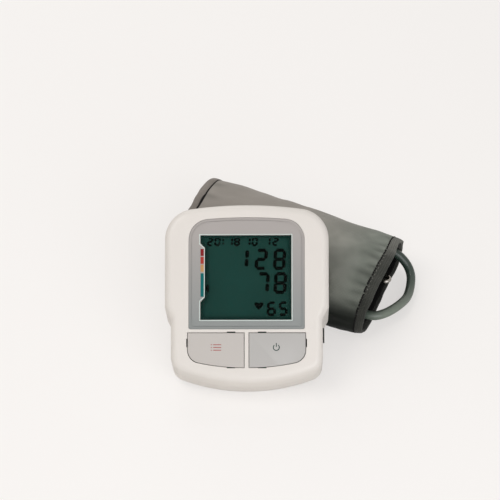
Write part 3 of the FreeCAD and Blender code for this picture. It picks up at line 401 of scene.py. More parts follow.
@dataclass(frozen=True)
class WovenFabric(Finish):
    """Plain-woven nylon: warp and weft ribs read from the piece's own UV map."""

    shade: str
    thread_mm: float = 1.1     # real threads are 0.3 mm; coarser so that they show
    depth_mm: float = 0.12
    sheen: float = 0.25
    roughness: float = 0.78
    blotch: float = 0.6
    blotch_mm: float = 24.0
    girth_axis: str | None = None   # the UV axis that runs round the roll, along which the painted shade is laid
    shade_depths: tuple = ROLL_SHADE
    roll_shade_colour: str = "#0D120D"
    far_shade: str | None = None   # painted shade: darker and cooler towards the right end
    far_mm: tuple[float, float] = (2.0, 66.0)
    creased: float = 0.0            # how much painted shade the creases hold
    crease_shade: str = "#20261F"

    def surface(self, tree: NodeTree, where: Node) -> dict:
        """Add the weave, the uneven dye and the fuzz.

        Args:
            tree: the material's node tree.
            where: its texture coordinates.

        Returns:
            The shader's inputs, by name.
        """
        warp, weft = (
            add_node(tree, "ShaderNodeTexWave", {
                "Vector": where.outputs["UV"], "Scale": 0.1 * math.pi * per_mm(self.thread_mm),
                "Distortion": 0.4, "Detail": 1.0}, bands_direction=axis)
            for axis in ("X", "Y"))
        weave = add_node(tree, "ShaderNodeMath", {
            0: warp.outputs["Fac"], 1: weft.outputs["Fac"]}, operation="MULTIPLY")
        fuzz = add_node(tree, "ShaderNodeTexNoise", {
            "Vector": where.outputs["Object"], "Scale": per_mm(0.8), "Detail": 4.0})
        height = add_node(tree, "ShaderNodeMath", {
            0: weave.outputs["Value"], 1: fuzz.outputs["Fac"]}, operation="ADD")
        bump = add_node(tree, "ShaderNodeBump", {
            "Height": height.outputs["Value"], "Distance": self.depth_mm * MM, "Strength": 0.8})
        flat = add_node(tree, "ShaderNodeSeparateXYZ", {"Vector": where.outputs["UV"]})
        return {
            "Base Color": self.colour_with_shade(tree, where, weave, flat), "Roughness": self.roughness,
            "Specular IOR Level": 0.2, "Sheen Weight": self.sheen, "Sheen Roughness": 0.5,
            "Normal": bump.outputs["Normal"]}

    def colour_with_shade(
            self, tree: NodeTree, where: Node, weave: Node,
            flat: Node) -> NodeSocket:
        """Add the colour: blotched, with painted shade that darkens and cools it to the right, in the creases
        and under the roll.

        Args:
            tree: the material's node tree.
            where: its texture coordinates.
            weave: the warp and weft ribs.
            flat: the lengths along the two UV axes.

        Returns:
            The socket that gives the colour.
        """
        broad = add_node(tree, "ShaderNodeTexNoise", {
            "Vector": where.outputs["Object"], "Scale": per_mm(self.blotch_mm), "Detail": 2.0,
            "Roughness": 0.6})
        blotch = add_node(tree, "ShaderNodeMapRange", {
            "Value": broad.outputs["Fac"], "From Min": 0.36, "From Max": 0.62, "To Min": -0.5, "To Max": 0.5})
        far = add_node(tree, "ShaderNodeMapRange", {
            "Value": flat.outputs["X"], "From Min": self.far_mm[0] * MM, "From Max": self.far_mm[1] * MM})
        uneven = add_node(tree, "ShaderNodeMath", {
            0: far.outputs["Result"], 1: self.blotch, 2: 0.16}, operation="MULTIPLY_ADD")
        blotch = add_node(tree, "ShaderNodeMath", {
            0: blotch.outputs["Result"], 1: uneven.outputs["Value"], 2: 0.27}, operation="MULTIPLY_ADD")
        mixed = add_node(tree, "ShaderNodeMath", {
            0: weave.outputs["Value"], 1: 0.55, 2: blotch.outputs["Value"]},
            operation="MULTIPLY_ADD", use_clamp=True)
        cloth = add_node(tree, "ShaderNodeMix", {
            "Factor": mixed.outputs["Value"], 6: linear(self.shade), 7: linear(self.colour)},
            data_type="RGBA").outputs[2]
        # Painted shade: darker and cooler towards the right end.
        if self.far_shade is not None:
            cloth = add_node(tree, "ShaderNodeMix", {
                "Factor": far.outputs["Result"], 6: cloth, 7: linear(self.far_shade)}, data_type="RGBA",
                blend_type="MULTIPLY").outputs[2]
        # Painted shade in the creases.
        if self.creased > 0.0:
            crease = add_node(tree, "ShaderNodeAttribute", attribute_name="crease")
            crease_shade = add_node(tree, "ShaderNodeMath", {
                0: crease.outputs["Fac"], 1: self.creased}, operation="MULTIPLY")
            cloth = add_node(tree, "ShaderNodeMix", {
                "Factor": crease_shade.outputs["Value"], 6: cloth, 7: linear(self.crease_shade)},
                data_type="RGBA").outputs[2]
        # Painted shade round the roll: the front foot and the underside go dark, the top stays lit.
        if self.girth_axis is not None:
            share = add_node(tree, "ShaderNodeMapRange", {
                "Value": flat.outputs[self.girth_axis], "From Min": -0.5 * GIRTH_MM * MM,
                "From Max": 0.5 * GIRTH_MM * MM})
            shade_ramp = add_node(tree, "ShaderNodeValToRGB", {"Fac": share.outputs["Result"]})
            steps = shade_ramp.color_ramp.elements
            for place, deep in self.shade_depths[1:-1]:
                steps.new(place).color = (deep, deep, deep, 1.0)
            for step, (place, deep) in ((steps[0], self.shade_depths[0]), (steps[-1], self.shade_depths[-1])):
                step.position = place
                step.color = (deep, deep, deep, 1.0)
            cloth = add_node(tree, "ShaderNodeMix", {
                "Factor": shade_ramp.outputs["Color"], 6: cloth, 7: linear(self.roll_shade_colour)},
                data_type="RGBA").outputs[2]
        return cloth


@dataclass(frozen=True)
class VinylTube(Finish):
    """Extruded vinyl: glossy dark green, with painted light greying it where the loop lies lowest, and
    painted shade near the cuff.
    """

    name: str = "grey green vinyl tube"
    colour: str = "#2B3A33"
    painted_light: str = "#6E776C"
    roughness: float = 0.3
    lit_mm: tuple[float, float] = (-16.0, 28.0)
    shaded_mm: tuple[float, float] = (58.0, 74.0)
    light_edge_mm: float = 14.0
    grain_mm: float = 1.2

    def surface(self, tree: NodeTree, where: Node) -> dict:
        """Add the painted light on the low loop, its painted shade near the cuff and a fine grain in the
        gloss.

        Args:
            tree: the material's node tree.
            where: its texture coordinates.

        Returns:
            The shader's inputs, by name.
        """
        parts = add_node(tree, "ShaderNodeSeparateXYZ", {"Vector": where.outputs["Object"]})
        light_edge_noise, grain = (
            add_node(tree, "ShaderNodeTexNoise", {
                "Vector": where.outputs["Object"], "Scale": per_mm(size), "Detail": 3.0})
            for size in (self.light_edge_mm, self.grain_mm))
        # Painted light: the loop's low run is greyed as if lit from above; noise wobbles its edge.
        place = add_node(tree, "ShaderNodeMath", {
            0: light_edge_noise.outputs["Fac"], 1: 10.0 * MM, 2: parts.outputs["Y"]}, operation="MULTIPLY_ADD")
        light_share = add_node(tree, "ShaderNodeMapRange", {
            "Value": place.outputs["Value"], "From Min": self.lit_mm[0] * MM,
            "From Max": self.lit_mm[1] * MM, "To Min": 1.0, "To Max": 0.0})
        # Painted shade: near the cuff the painted light fades.
        outside = add_node(tree, "ShaderNodeMapRange", {
            "Value": parts.outputs["X"], "From Min": self.shaded_mm[0] * MM,
            "From Max": self.shaded_mm[1] * MM, "To Min": 0.35})
        light_share = add_node(tree, "ShaderNodeMath", {
            0: light_share.outputs["Result"], 1: outside.outputs["Result"]}, operation="MULTIPLY")
        tint = add_node(tree, "ShaderNodeMix", {
            "Factor": light_share.outputs["Value"], 6: linear(self.colour), 7: linear(self.painted_light)},
            data_type="RGBA")
        gloss = add_node(tree, "ShaderNodeMapRange", {
            "Value": grain.outputs["Fac"], "To Min": self.roughness - 0.06, "To Max": self.roughness + 0.1})
        bump = add_node(tree, "ShaderNodeBump", {
            "Height": grain.outputs["Fac"], "Distance": 0.02 * MM, "Strength": 0.5})
        return {
            "Base Color": tint.outputs[2], "Roughness": gloss.outputs["Result"],
            "Normal": bump.outputs["Normal"], "IOR": 1.53, "Specular IOR Level": 0.38,
            "Coat Weight": 0.1, "Coat Roughness": 0.15}


@dataclass(frozen=True)
class DrawnMetal(Finish):
    """Drawn or rolled metal: fine lines along the piece and a soft mirror."""

    roughness: float = 0.28
    line_mm: float = 0.4
    roughness_swing: float = 0.08
    shade: float = 0.85        # light left in the lines' dark sides

    def surface(self, tree: NodeTree, where: Node) -> dict:
        """Add the drawn lines to the gloss and the colour.

        Args:
            tree: the material's node tree.
            where: its texture coordinates.

        Returns:
            The shader's inputs, by name.
        """
        stretch = add_node(tree, "ShaderNodeMapping", {
            "Vector": where.outputs["Object"], "Scale": (0.05, 1.0, 1.0)})
        lines = add_node(tree, "ShaderNodeTexNoise", {
            "Vector": stretch.outputs["Vector"], "Scale": per_mm(self.line_mm), "Detail": 2.0})
        gloss = add_node(tree, "ShaderNodeMapRange", {
            "Value": lines.outputs["Fac"], "To Min": self.roughness - self.roughness_swing,
            "To Max": self.roughness + self.roughness_swing})
        tint = add_node(tree, "ShaderNodeMix", {
            "Factor": lines.outputs["Fac"], 6: linear(self.colour, self.shade), 7: linear(self.colour)},
            data_type="RGBA")
        return {"Base Color": tint.outputs[2], "Roughness": gloss.outputs["Result"], "Metallic": 1.0}


class Finishes:
    """The object's materials, each built once and shared."""

    def __init__(self) -> None:
        """Build every finish."""
        # Satin white shell: wide soft highlights that follow its bows.
        self.case = MouldedPlastic("warm white ABS", "#DAD5CF", 0.4).build()
        # Metallic paint with a cool sheen; painted shade greys it towards the panel's foot.
        self.panel = MouldedPlastic(
            "silver grey painted ABS", "#A19C99", 0.38, 0.6, 0.006, 0.03, metallic=0.15,
            foot_shade="#838786").build()
        # Fine satin caps: the left one looks a little warmer and lighter than the right.
        self.key_left = MouldedPlastic("stone grey ABS", "#BBB6B1", 0.36, 0.6, 0.006).build()
        self.key_right = MouldedPlastic("cool grey ABS", "#AEACA9", 0.36, 0.6, 0.006).build()
        # Openings and fittings read as deep, with only a grey light on their edges.
        self.black = MouldedPlastic("black ABS", "#151515", 0.45).build()
        self.joint = MouldedPlastic("shaded joint of the ABS covers", "#6F6B66", 0.6, shine=0.1).build()
        # Inner mouldings: a waxy grey, dull rubber, milky tube, glossy lacquer and film.
        self.grey = MouldedPlastic("grey acetal", "#8C8F92", 0.4).build()
        self.rubber = MouldedPlastic("dark rubber", "#2A2A2B", 0.75).build()
        self.silicone = MouldedPlastic("milky silicone", "#C9CCC8", 0.5).build()
        self.board = MouldedPlastic("green solder mask", "#1F5A38", 0.35, coat=0.3).build()
        self.cell = MouldedPlastic("shrink-wrapped cell", "#3F5D86", 0.3, coat=0.3).build()
        self.film = MouldedPlastic("dark polyurethane film", "#26282A", 0.5).build()
        # A narrow bright line along a dark tube, with painted light greying it low down.
        self.hose = VinylTube().build()
        # The window darkens the teal behind it a little and hardly mirrors the lamps.
        self.lens = ClearAcrylic().build()
        self.crystal = LiquidCrystal().build()
        # Prints are flat and nearly without shine, so that they sit in the surface.
        self.ink = MouldedPlastic("black segment print", "#020403", 0.6, shine=0.02).build()
        self.mask = MouldedPlastic("dark teal window print", "#18443D", 0.6, 0.6, 0.004, shine=0.1).build()
        self.bead = MouldedPlastic("pale window bead", "#CBD8D2", 0.4, 0.6, 0.004).build()
        self.levels = [
            self.pad_print("level print " + name, colour) for name, colour in (
                ("deep red", "#7A1118"), ("red", "#9F372E"), ("tan", "#B58B5C"), ("teal", "#075F5F"))]
        self.sign_red = self.pad_print("rose pad print", "#A5605F")
        self.sign_green = self.pad_print("dark green pad print", "#1D3B35")
        # Threads stand out as short dark dashes; the pale dashes are a painted highlight beside the right
        # seam.
        self.thread = WovenFabric(
            "black sewing thread", "#10100F", "#090909", thread_mm=0.6, depth_mm=0.1, sheen=0.0).build()
        self.seam_highlight = WovenFabric(
            "pale thread as painted highlight", "#85847A", "#66655D", thread_mm=0.6, depth_mm=0.1).build()
        # Grey cloth, matt and slightly blotched; painted shade makes it darker and greener on the right, in
        # its creases and below.
        self.fabric = WovenFabric(
            "grey woven nylon", "#A9A29B", "#86827B", sheen=0.1, blotch=0.52, girth_axis="Y",
            far_shade="#D6E6E2", creased=0.55).build()
        # Painted shade: the lining is near-black so that the roll's inside and mouth read as shade.
        self.lining = WovenFabric("woven lining in painted shade", "#060606", "#030303", sheen=0.0).build()
        # Bindings have coarser ribs than the cloth, which catch light along the roll's rims; painted shade
        # darkens them round the roll, the right one more, black on its far side.
        self.tape = WovenFabric(
            "ribbed binding tape", "#979089", "#79736D", thread_mm=0.9, depth_mm=0.2, sheen=0.1,
            girth_axis="X").build()
        self.tape_shaded = WovenFabric(
            "ribbed binding tape in painted shade", "#87867F", "#4A4C46", thread_mm=1.3, depth_mm=0.3, sheen=0.1,
            girth_axis="X", shade_depths=BAND_SHADE).build()
        self.tape_in_shade = WovenFabric(
            "binding tape in painted shade", "#0A0A0A", "#050505", thread_mm=0.9, depth_mm=0.2, sheen=0.0).build()
        # Metals: a dull zinc sheen, a bright sharp glint on the wire and a warm spring.
        self.steel = DrawnMetal("zinc plated steel", "#B9BCC0").build()
        self.nickel = DrawnMetal("nickel plated wire", "#9A9792", 0.16).build()
        self.copper = DrawnMetal("phosphor bronze", "#B98258").build()

    def pad_print(self, name: str, colour: str) -> Material:
        """Return a thin pad-printed ink of one colour."""
        return MouldedPlastic(name, colour, 0.5, 0.6, 0.004, shine=0.15).build()


# ---------------------------------------------------------------- viewpoint and studio
@dataclass(frozen=True)
class Viewpoint:
    """Camera that looks down on the leaning face."""

    aim_in_case_mm: tuple[float, float, float] = (0.0, 64.0, 32.0)
    elevation: float = 44.0
    azimuth: float = 2.0
    roll: float = -1.5
    distance: float = 1.2
    lens_mm: float = 117.4
    sensor_mm: float = 36.0
    shift: tuple[float, float] = (0.006, 0.094)
    nearest: float = 0.01

    def build(self) -> Object:
        """Create the camera and make it the scene's own.

        Returns:
            The camera object.
        """
        elevation, azimuth, turn = (
            math.radians(angle) for angle in (self.elevation, self.azimuth, self.roll))
        back = Vector((
            math.sin(azimuth) * math.cos(elevation), -math.cos(azimuth) * math.cos(elevation),
            math.sin(elevation)))
        right = Vector((math.cos(azimuth), math.sin(azimuth), 0.0))
        up = back.cross(right)
        across = right * math.cos(turn) + up * math.sin(turn)
        above = -right * math.sin(turn) + up * math.cos(turn)
        place = Matrix((across, above, back)).transposed().to_4x4()
        place.translation = MONITOR @ (Vector(self.aim_in_case_mm) * MM) + back * self.distance
        data = bpy.data.cameras.new("viewpoint")
        data.sensor_width = self.sensor_mm
        data.lens = self.lens_mm
        data.shift_x, data.shift_y = self.shift
        data.clip_start = self.nearest
        camera = add_object("viewpoint", data)
        camera.matrix_world = place
        bpy.context.scene.camera = camera
        return camera


@dataclass(frozen=True)
class MattPaper(Finish):
    """Uncoated paper: quite without gloss, it takes the shadow and shows pale to the camera."""

    name: str = "matt paper floor"
    colour: str = "#F2F0ED"
    shade: str = "#EFECE8"
    cloud_mm: float = 400.0
    glow_colour: str = "#FDFAF8"
    glow: float = 0.6

    def build(self) -> Material:
        """Make the material and add the glow that only the camera sees.

        Returns:
            The material.
        """
        material = super().build()
        tree = material.node_tree
        path = add_node(tree, "ShaderNodeLightPath")
        share = add_node(tree, "ShaderNodeMath", {
            0: path.outputs["Is Camera Ray"], 1: self.glow}, operation="MULTIPLY")
        glow = add_node(tree, "ShaderNodeEmission", {"Color": linear(self.glow_colour), "Strength": 1.0})
        mix = add_node(tree, "ShaderNodeMixShader", {
            "Fac": share.outputs["Value"], 1: tree.nodes["Principled BSDF"].outputs["BSDF"],
            2: glow.outputs["Emission"]})
        set_inputs(tree, tree.nodes["Material Output"], {"Surface": mix.outputs["Shader"]})
        return material

    def surface(self, tree: NodeTree, where: Node) -> dict:
        """Add the paper's faint clouds.

        Args:
            tree: the material's node tree.
            where: its texture coordinates.

        Returns:
            The shader's inputs, by name.
        """
        cloud = add_node(tree, "ShaderNodeTexNoise", {
            "Vector": where.outputs["Object"], "Scale": per_mm(self.cloud_mm)})
        tint = add_node(tree, "ShaderNodeMix", {
            "Factor": cloud.outputs["Fac"], 6: linear(self.shade), 7: linear(self.colour)}, data_type="RGBA")
        return {"Base Color": tint.outputs[2], "Roughness": 0.9, "Specular IOR Level": 0.1}


@dataclass
class Studio:
    """Pale floor, white surround and three soft lamps."""

    floor_half: float = 6.0
    floor_drop_mm: float = 0.02
    lamps: tuple = (
        # name, place, size, power, colour
        ("key lamp", (-0.7, -0.3, 1.35), 0.9, 7.7, "#FFFCF9"),
        ("fill lamp", (0.5, -1.15, 0.55), 1.2, 9.2, "#FAFBFF"),
        ("back lamp", (-0.3, 1.1, 0.95), 1.0, 4.5, "#FFFFFF"),
    )
    sky: tuple[str, float] = ("#FFFDFB", 0.42)        # what lights the object
    backdrop: tuple[str, float] = ("#F6F1ED", 1.0)    # what the camera and reflections see

    def build(self) -> None:
        """Create the floor, the lamps and the world."""
        shape = bmesh.new()
        bmesh.ops.create_grid(shape, x_segments=1, y_segments=1, size=self.floor_half)
        floor = finish_mesh(
            "studio_floor", shape, Matrix.Translation((0.0, 0.0, -self.floor_drop_mm * MM)), None)
        floor.data.materials.append(MattPaper().build())
        for name, place, size, power, colour in self.lamps:
            data = bpy.data.lights.new(name, "AREA")
            data.shape = "DISK"
            data.size = size
            data.energy = power
            data.color = linear(colour)[:3]
            turn = Vector(place).to_track_quat("Z", "Y").to_matrix().to_4x4()
            add_object(name, data).matrix_world = Matrix.Translation(place) @ turn
        self.build_world()
        bpy.context.scene.view_settings.view_transform = "Standard"

    def build_world(self) -> None:
        """Light the surround evenly and show it white behind the object."""
        world = bpy.data.worlds.new("surround")
        bpy.context.scene.world = world
        world.use_nodes = True
        tree = world.node_tree
        tree.nodes.clear()
        path = add_node(tree, "ShaderNodeLightPath")
        seen = path.outputs["Is Camera Ray"]
        for ray in ("Is Glossy Ray", "Is Transmission Ray"):
            seen = add_node(tree, "ShaderNodeMath", {
                0: seen, 1: path.outputs[ray]}, operation="MAXIMUM").outputs["Value"]
        light, white = (
            add_node(tree, "ShaderNodeBackground", {"Color": linear(colour), "Strength": strength})
            for colour, strength in (self.sky, self.backdrop))
        mix = add_node(tree, "ShaderNodeMixShader", {
            "Fac": seen, 1: light.outputs["Background"], 2: white.outputs["Background"]})
        add_node(tree, "ShaderNodeOutputWorld", {"Surface": mix.outputs["Shader"]})


# ---------------------------------------------------------------- hose
@dataclass
class Hose:
    """Air hose: out of the cuff's lower end in a loop, back in and folded away inside."""

    finishes: Finishes
    radius_mm: float = 3.5
    length_mm: float = 389.6
    route_mm: tuple = (
        (60.0, -28.5, 13.4), (81.0, -30.4, 13.2), (90.8, -22.8, 12.4), (97.9, -7.0, 11.4), (98.4, 13.9, 4.4),
        (91.8, 35.0, 11.8), (73.0, 34.2, 28.8), (45.0, 33.4, 16.5), (14.0, 29.8, 12.4),
        (-22.0, 31.5, 12.4), (-54.0, 30.5, 12.4), (-72.0, 5.0, 12.4), (-57.0, -20.5, 12.4),
        (-26.0, -20.0, 12.4), (10.0, -17.0, 12.4), (36.0, -17.5, 13.8),
    )

    def build(self) -> None:
        points = [CUFF @ (Vector(point) * MM) for point in self.route_mm]
        curve = bpy.data.curves.new("air_hose", "CURVE")
        curve.dimensions = "3D"
        curve.bevel_depth = self.radius_mm * MM
        curve.bevel_resolution = 8
        curve.resolution_u = 14
        curve.use_fill_caps = True
        line = curve.splines.new("NURBS")
        line.points.add(len(points) - 1)
        for control, point in zip(line.points, points):
            control.co = (*point, 1.0)
        line.order_u = 3
        line.use_endpoint_u = True
        hose = add_object("air_hose", curve)
        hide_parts("cuff_hose")
        dress(hose, self.finishes.hose)


# ---------------------------------------------------------------- flat pieces in millimetres
def in_millimetres(place: Matrix) -> Matrix:
    """Return the matrix for a shape that is drawn in millimetres."""
    return place @ Matrix.Scale(MM, 4)


def rectangle(left: float, low: float, right: float, high: float) -> list[tuple[float, float]]:
    """Return the corners of an upright rectangle in order."""
    return [(left, low), (right, low), (right, high), (left, high)]


def raise_faces(shape: BMesh, faces: list, height: float) -> list:
    """Extrude faces straight up.

    Args:
        shape: the bmesh that holds them.
        faces: the faces, which stay as the underside.
        height: how far up.

    Returns:
        The raised vertices, edges and faces.
    """
    raised = bmesh.ops.extrude_face_region(shape, geom=faces, use_keep_orig=True)["geom"]
    verts = [item for item in raised if isinstance(item, BMVert)]
    bmesh.ops.translate(shape, vec=(0.0, 0.0, height), verts=verts)
    return raised


def soften(shape: BMesh, edges: list, width: float, **options) -> None:
    """Round edges with a bevel of two steps.

    Args:
        shape: the bmesh that holds them.
        edges: the edges.
        width: the bevel's width.
        **options: other settings of the operator.
    """
    bmesh.ops.bevel(
        shape, geom=edges, offset=width, offset_type="OFFSET", affect="EDGES", segments=2, profile=0.5,
        material=-1, **options)


def plate(
        shape: BMesh, outline: list[tuple[float, float]], low: float, high: float,
        soft: float = 0.0) -> None:
    """Add one flat plate to a bmesh: a face raised to a thickness, its top edge softened.

    Args:
        shape: the bmesh that gets the plate, in millimetres.
        outline: corners in order.
        low: height of the underside.
        high: height of the top.
        soft: bevel of the top edge.
    """
    base = shape.faces.new([shape.verts.new((x, y, low)) for x, y in outline])
    raised = raise_faces(shape, [base], high - low)
    if soft > 0.0:
        edges = [item for item in raised if isinstance(item, BMEdge)]
        soften(shape, edges, soft, clamp_overlap=True)


def ring_plate(
        shape: BMesh, outline: list[tuple[float, float]], inset: float, low: float,
        high: float) -> None:
    """Add a flat frame to a bmesh: the outline inset, its middle taken out, then raised.

    Args:
        shape: the bmesh that gets the frame, in millimetres.
        outline: outer corners in order.
        inset: width of the frame.
        low: height of the underside.
        high: height of the top.
    """
    face = shape.faces.new([shape.verts.new((x, y, low)) for x, y in outline])
    face.normal_update()
    rim = bmesh.ops.inset_region(
        shape, faces=[face], thickness=inset, use_even_offset=True, use_boundary=True)["faces"]
    bmesh.ops.delete(shape, geom=[face], context="FACES_ONLY")
    raise_faces(shape, rim, high - low)


def lay_on_face(
        name: str, shape: BMesh, material: Material, body: str = "root",
        smooth: float | None = None) -> Object:
    """Finish a piece that is drawn in millimetres on the sloped face.

    Args:
        name: the piece's name.
        shape: the geometry, freed here.
        material: its finish.
        body: the body that carries it.
        smooth: the angle in degrees under which edges shade smooth, or None for flat.

    Returns:
        The piece.
    """
    return dress(finish_mesh(name, shape, in_millimetres(FACE), smooth), material, body)


# ---------------------------------------------------------------- casing, display and keys
@dataclass
class Casing:
    """Covers, panel, keys and the two dark lines in the walls: CAD forms with moulded finishes."""

    finishes: Finishes
    slot_at: tuple[float, float, float] = (55.5, 37.6, 21.2)
    slot_size: tuple[float, float] = (11.6, 3.2)
    slot_lip: float = 0.7
    slot_proud: float = 1.3
    slot_back: float = -0.4
    slot_floor: float = 0.1
    arc_steps: int = 8
    parting: float = 16.0        # depth of the joint line under the face
    parting_gap: float = 0.3
    parting_lift: float = 0.05   # the cut lies this much over the joint, inside the cover
    parting_proud: float = 0.06

    def build(self) -> None:
        """Dress the covers and the pieces set in them."""
        look = self.finishes
        smooth_copy("top_cover", "root", look.case)
        smooth_copy("bottom_cover", "root", look.case)
        smooth_copy("face_panel", "root", look.panel)
        smooth_copy("memory_button", "memory_key", look.key_left)
        smooth_copy("start_button", "start_key", look.key_right)
        self.side_slot()
        self.parting_line()

    def parting_line(self) -> None:
        """Lay a hair-thin dark line round the outside where the two covers meet."""
        shape = bmesh.new()
        shape.from_mesh(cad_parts["top_cover"].data)
        bmesh.ops.remove_doubles(shape, verts=shape.verts, dist=WELD)
        bmesh.ops.transform(shape, matrix=FACE.inverted(), verts=shape.verts)
        bmesh.ops.bisect_plane(
            shape, geom=shape.verts[:] + shape.edges[:] + shape.faces[:],
            plane_co=(0.0, 0.0, (self.parting_lift - self.parting) * MM), plane_no=(0.0, 0.0, 1.0),
            clear_outer=True, clear_inner=True)
        bmesh.ops.remove_doubles(shape, verts=shape.verts, dist=2.0 * WELD)
        widest = max(self.wire_loops(shape), key=lambda loop: max(vert.co.x for vert in loop))
        bmesh.ops.delete(shape, geom=[vert for vert in shape.verts if vert not in widest], context="VERTS")
        middle = sum(vert.co.y for vert in shape.verts) / len(shape.verts)
        for vert in shape.verts:
            outwards = Vector((vert.co.x, vert.co.y - middle, 0.0)).normalized()
            vert.co += outwards * self.parting_proud * MM
        raised = bmesh.ops.extrude_edge_only(shape, edges=shape.edges[:])["geom"]
        verts = [item for item in raised if isinstance(item, BMVert)]
        bmesh.ops.translate(shape, vec=(0.0, 0.0, -self.parting_gap * MM), verts=verts)
        dress(finish_mesh("parting_line", shape, FACE), self.finishes.joint)

    def wire_loops(self, shape: BMesh) -> list[set]:
        """Sort a bmesh's vertices by what they are joined to.

        Args:
            shape: the bmesh.

        Returns:
            The sets of joined vertices.
        """
        left, loops = set(shape.verts), []
        while left:
            ahead = [left.pop()]
            loop = set(ahead)
            while ahead:
                vert = ahead.pop()
                near = {edge.other_vert(vert) for edge in vert.link_edges} & left
                left -= near
                loop |= near
                ahead.extend(near)
            loops.append(loop)
        return loops

    def side_slot(self) -> None:
        """Set the thin black slot trim in the right wall, its lips a little proud of it."""
        corner = self.slot_size[1] / 2.0
        reach = self.slot_size[0] / 2.0 - corner
        outline = []
        for centre, start in ((reach, -90.0), (-reach, 90.0)):
            for step in range(self.arc_steps + 1):
                angle = math.radians(start + step * 180.0 / self.arc_steps)
                outline.append((centre + corner * math.cos(angle), corner * math.sin(angle)))
        shape = bmesh.new()
        ring_plate(shape, outline, self.slot_lip, self.slot_back, self.slot_proud)
        plate(shape, outline, self.slot_back, self.slot_floor)
        # The trim is drawn lying flat: its length turns to the casing's Y and its height to Z.
        turn = Matrix(((0.0, 0.0, 1.0), (1.0, 0.0, 0.0), (0.0, 1.0, 0.0))).to_4x4()
        place = MONITOR @ Matrix.Translation([side * MM for side in self.slot_at]) @ turn
        trim = finish_mesh("side_slot_trim", shape, in_millimetres(place))
        dress(trim, self.finishes.black)


class Segment(Enum):
    """The seven bars of a numeral: start and end on a cell one wide and two high."""

    TOP = ((0.0, 2.0), (1.0, 2.0))
    UPPER_LEFT = ((0.0, 1.0), (0.0, 2.0))
    UPPER_RIGHT = ((1.0, 1.0), (1.0, 2.0))
    MIDDLE = ((0.0, 1.0), (1.0, 1.0))
    LOWER_LEFT = ((0.0, 0.0), (0.0, 1.0))
    LOWER_RIGHT = ((1.0, 0.0), (1.0, 1.0))
    FOOT = ((0.0, 0.0), (1.0, 0.0))


# The bars that each numeral leaves dark.
UNLIT = {
    "0": {Segment.MIDDLE},
    "1": set(Segment) - {Segment.UPPER_RIGHT, Segment.LOWER_RIGHT},
    "2": {Segment.UPPER_LEFT, Segment.LOWER_RIGHT},
    "5": {Segment.UPPER_RIGHT, Segment.LOWER_LEFT},
    "6": {Segment.UPPER_RIGHT},
    "7": {Segment.UPPER_LEFT, Segment.MIDDLE, Segment.LOWER_LEFT, Segment.FOOT},
    "8": set(),
}


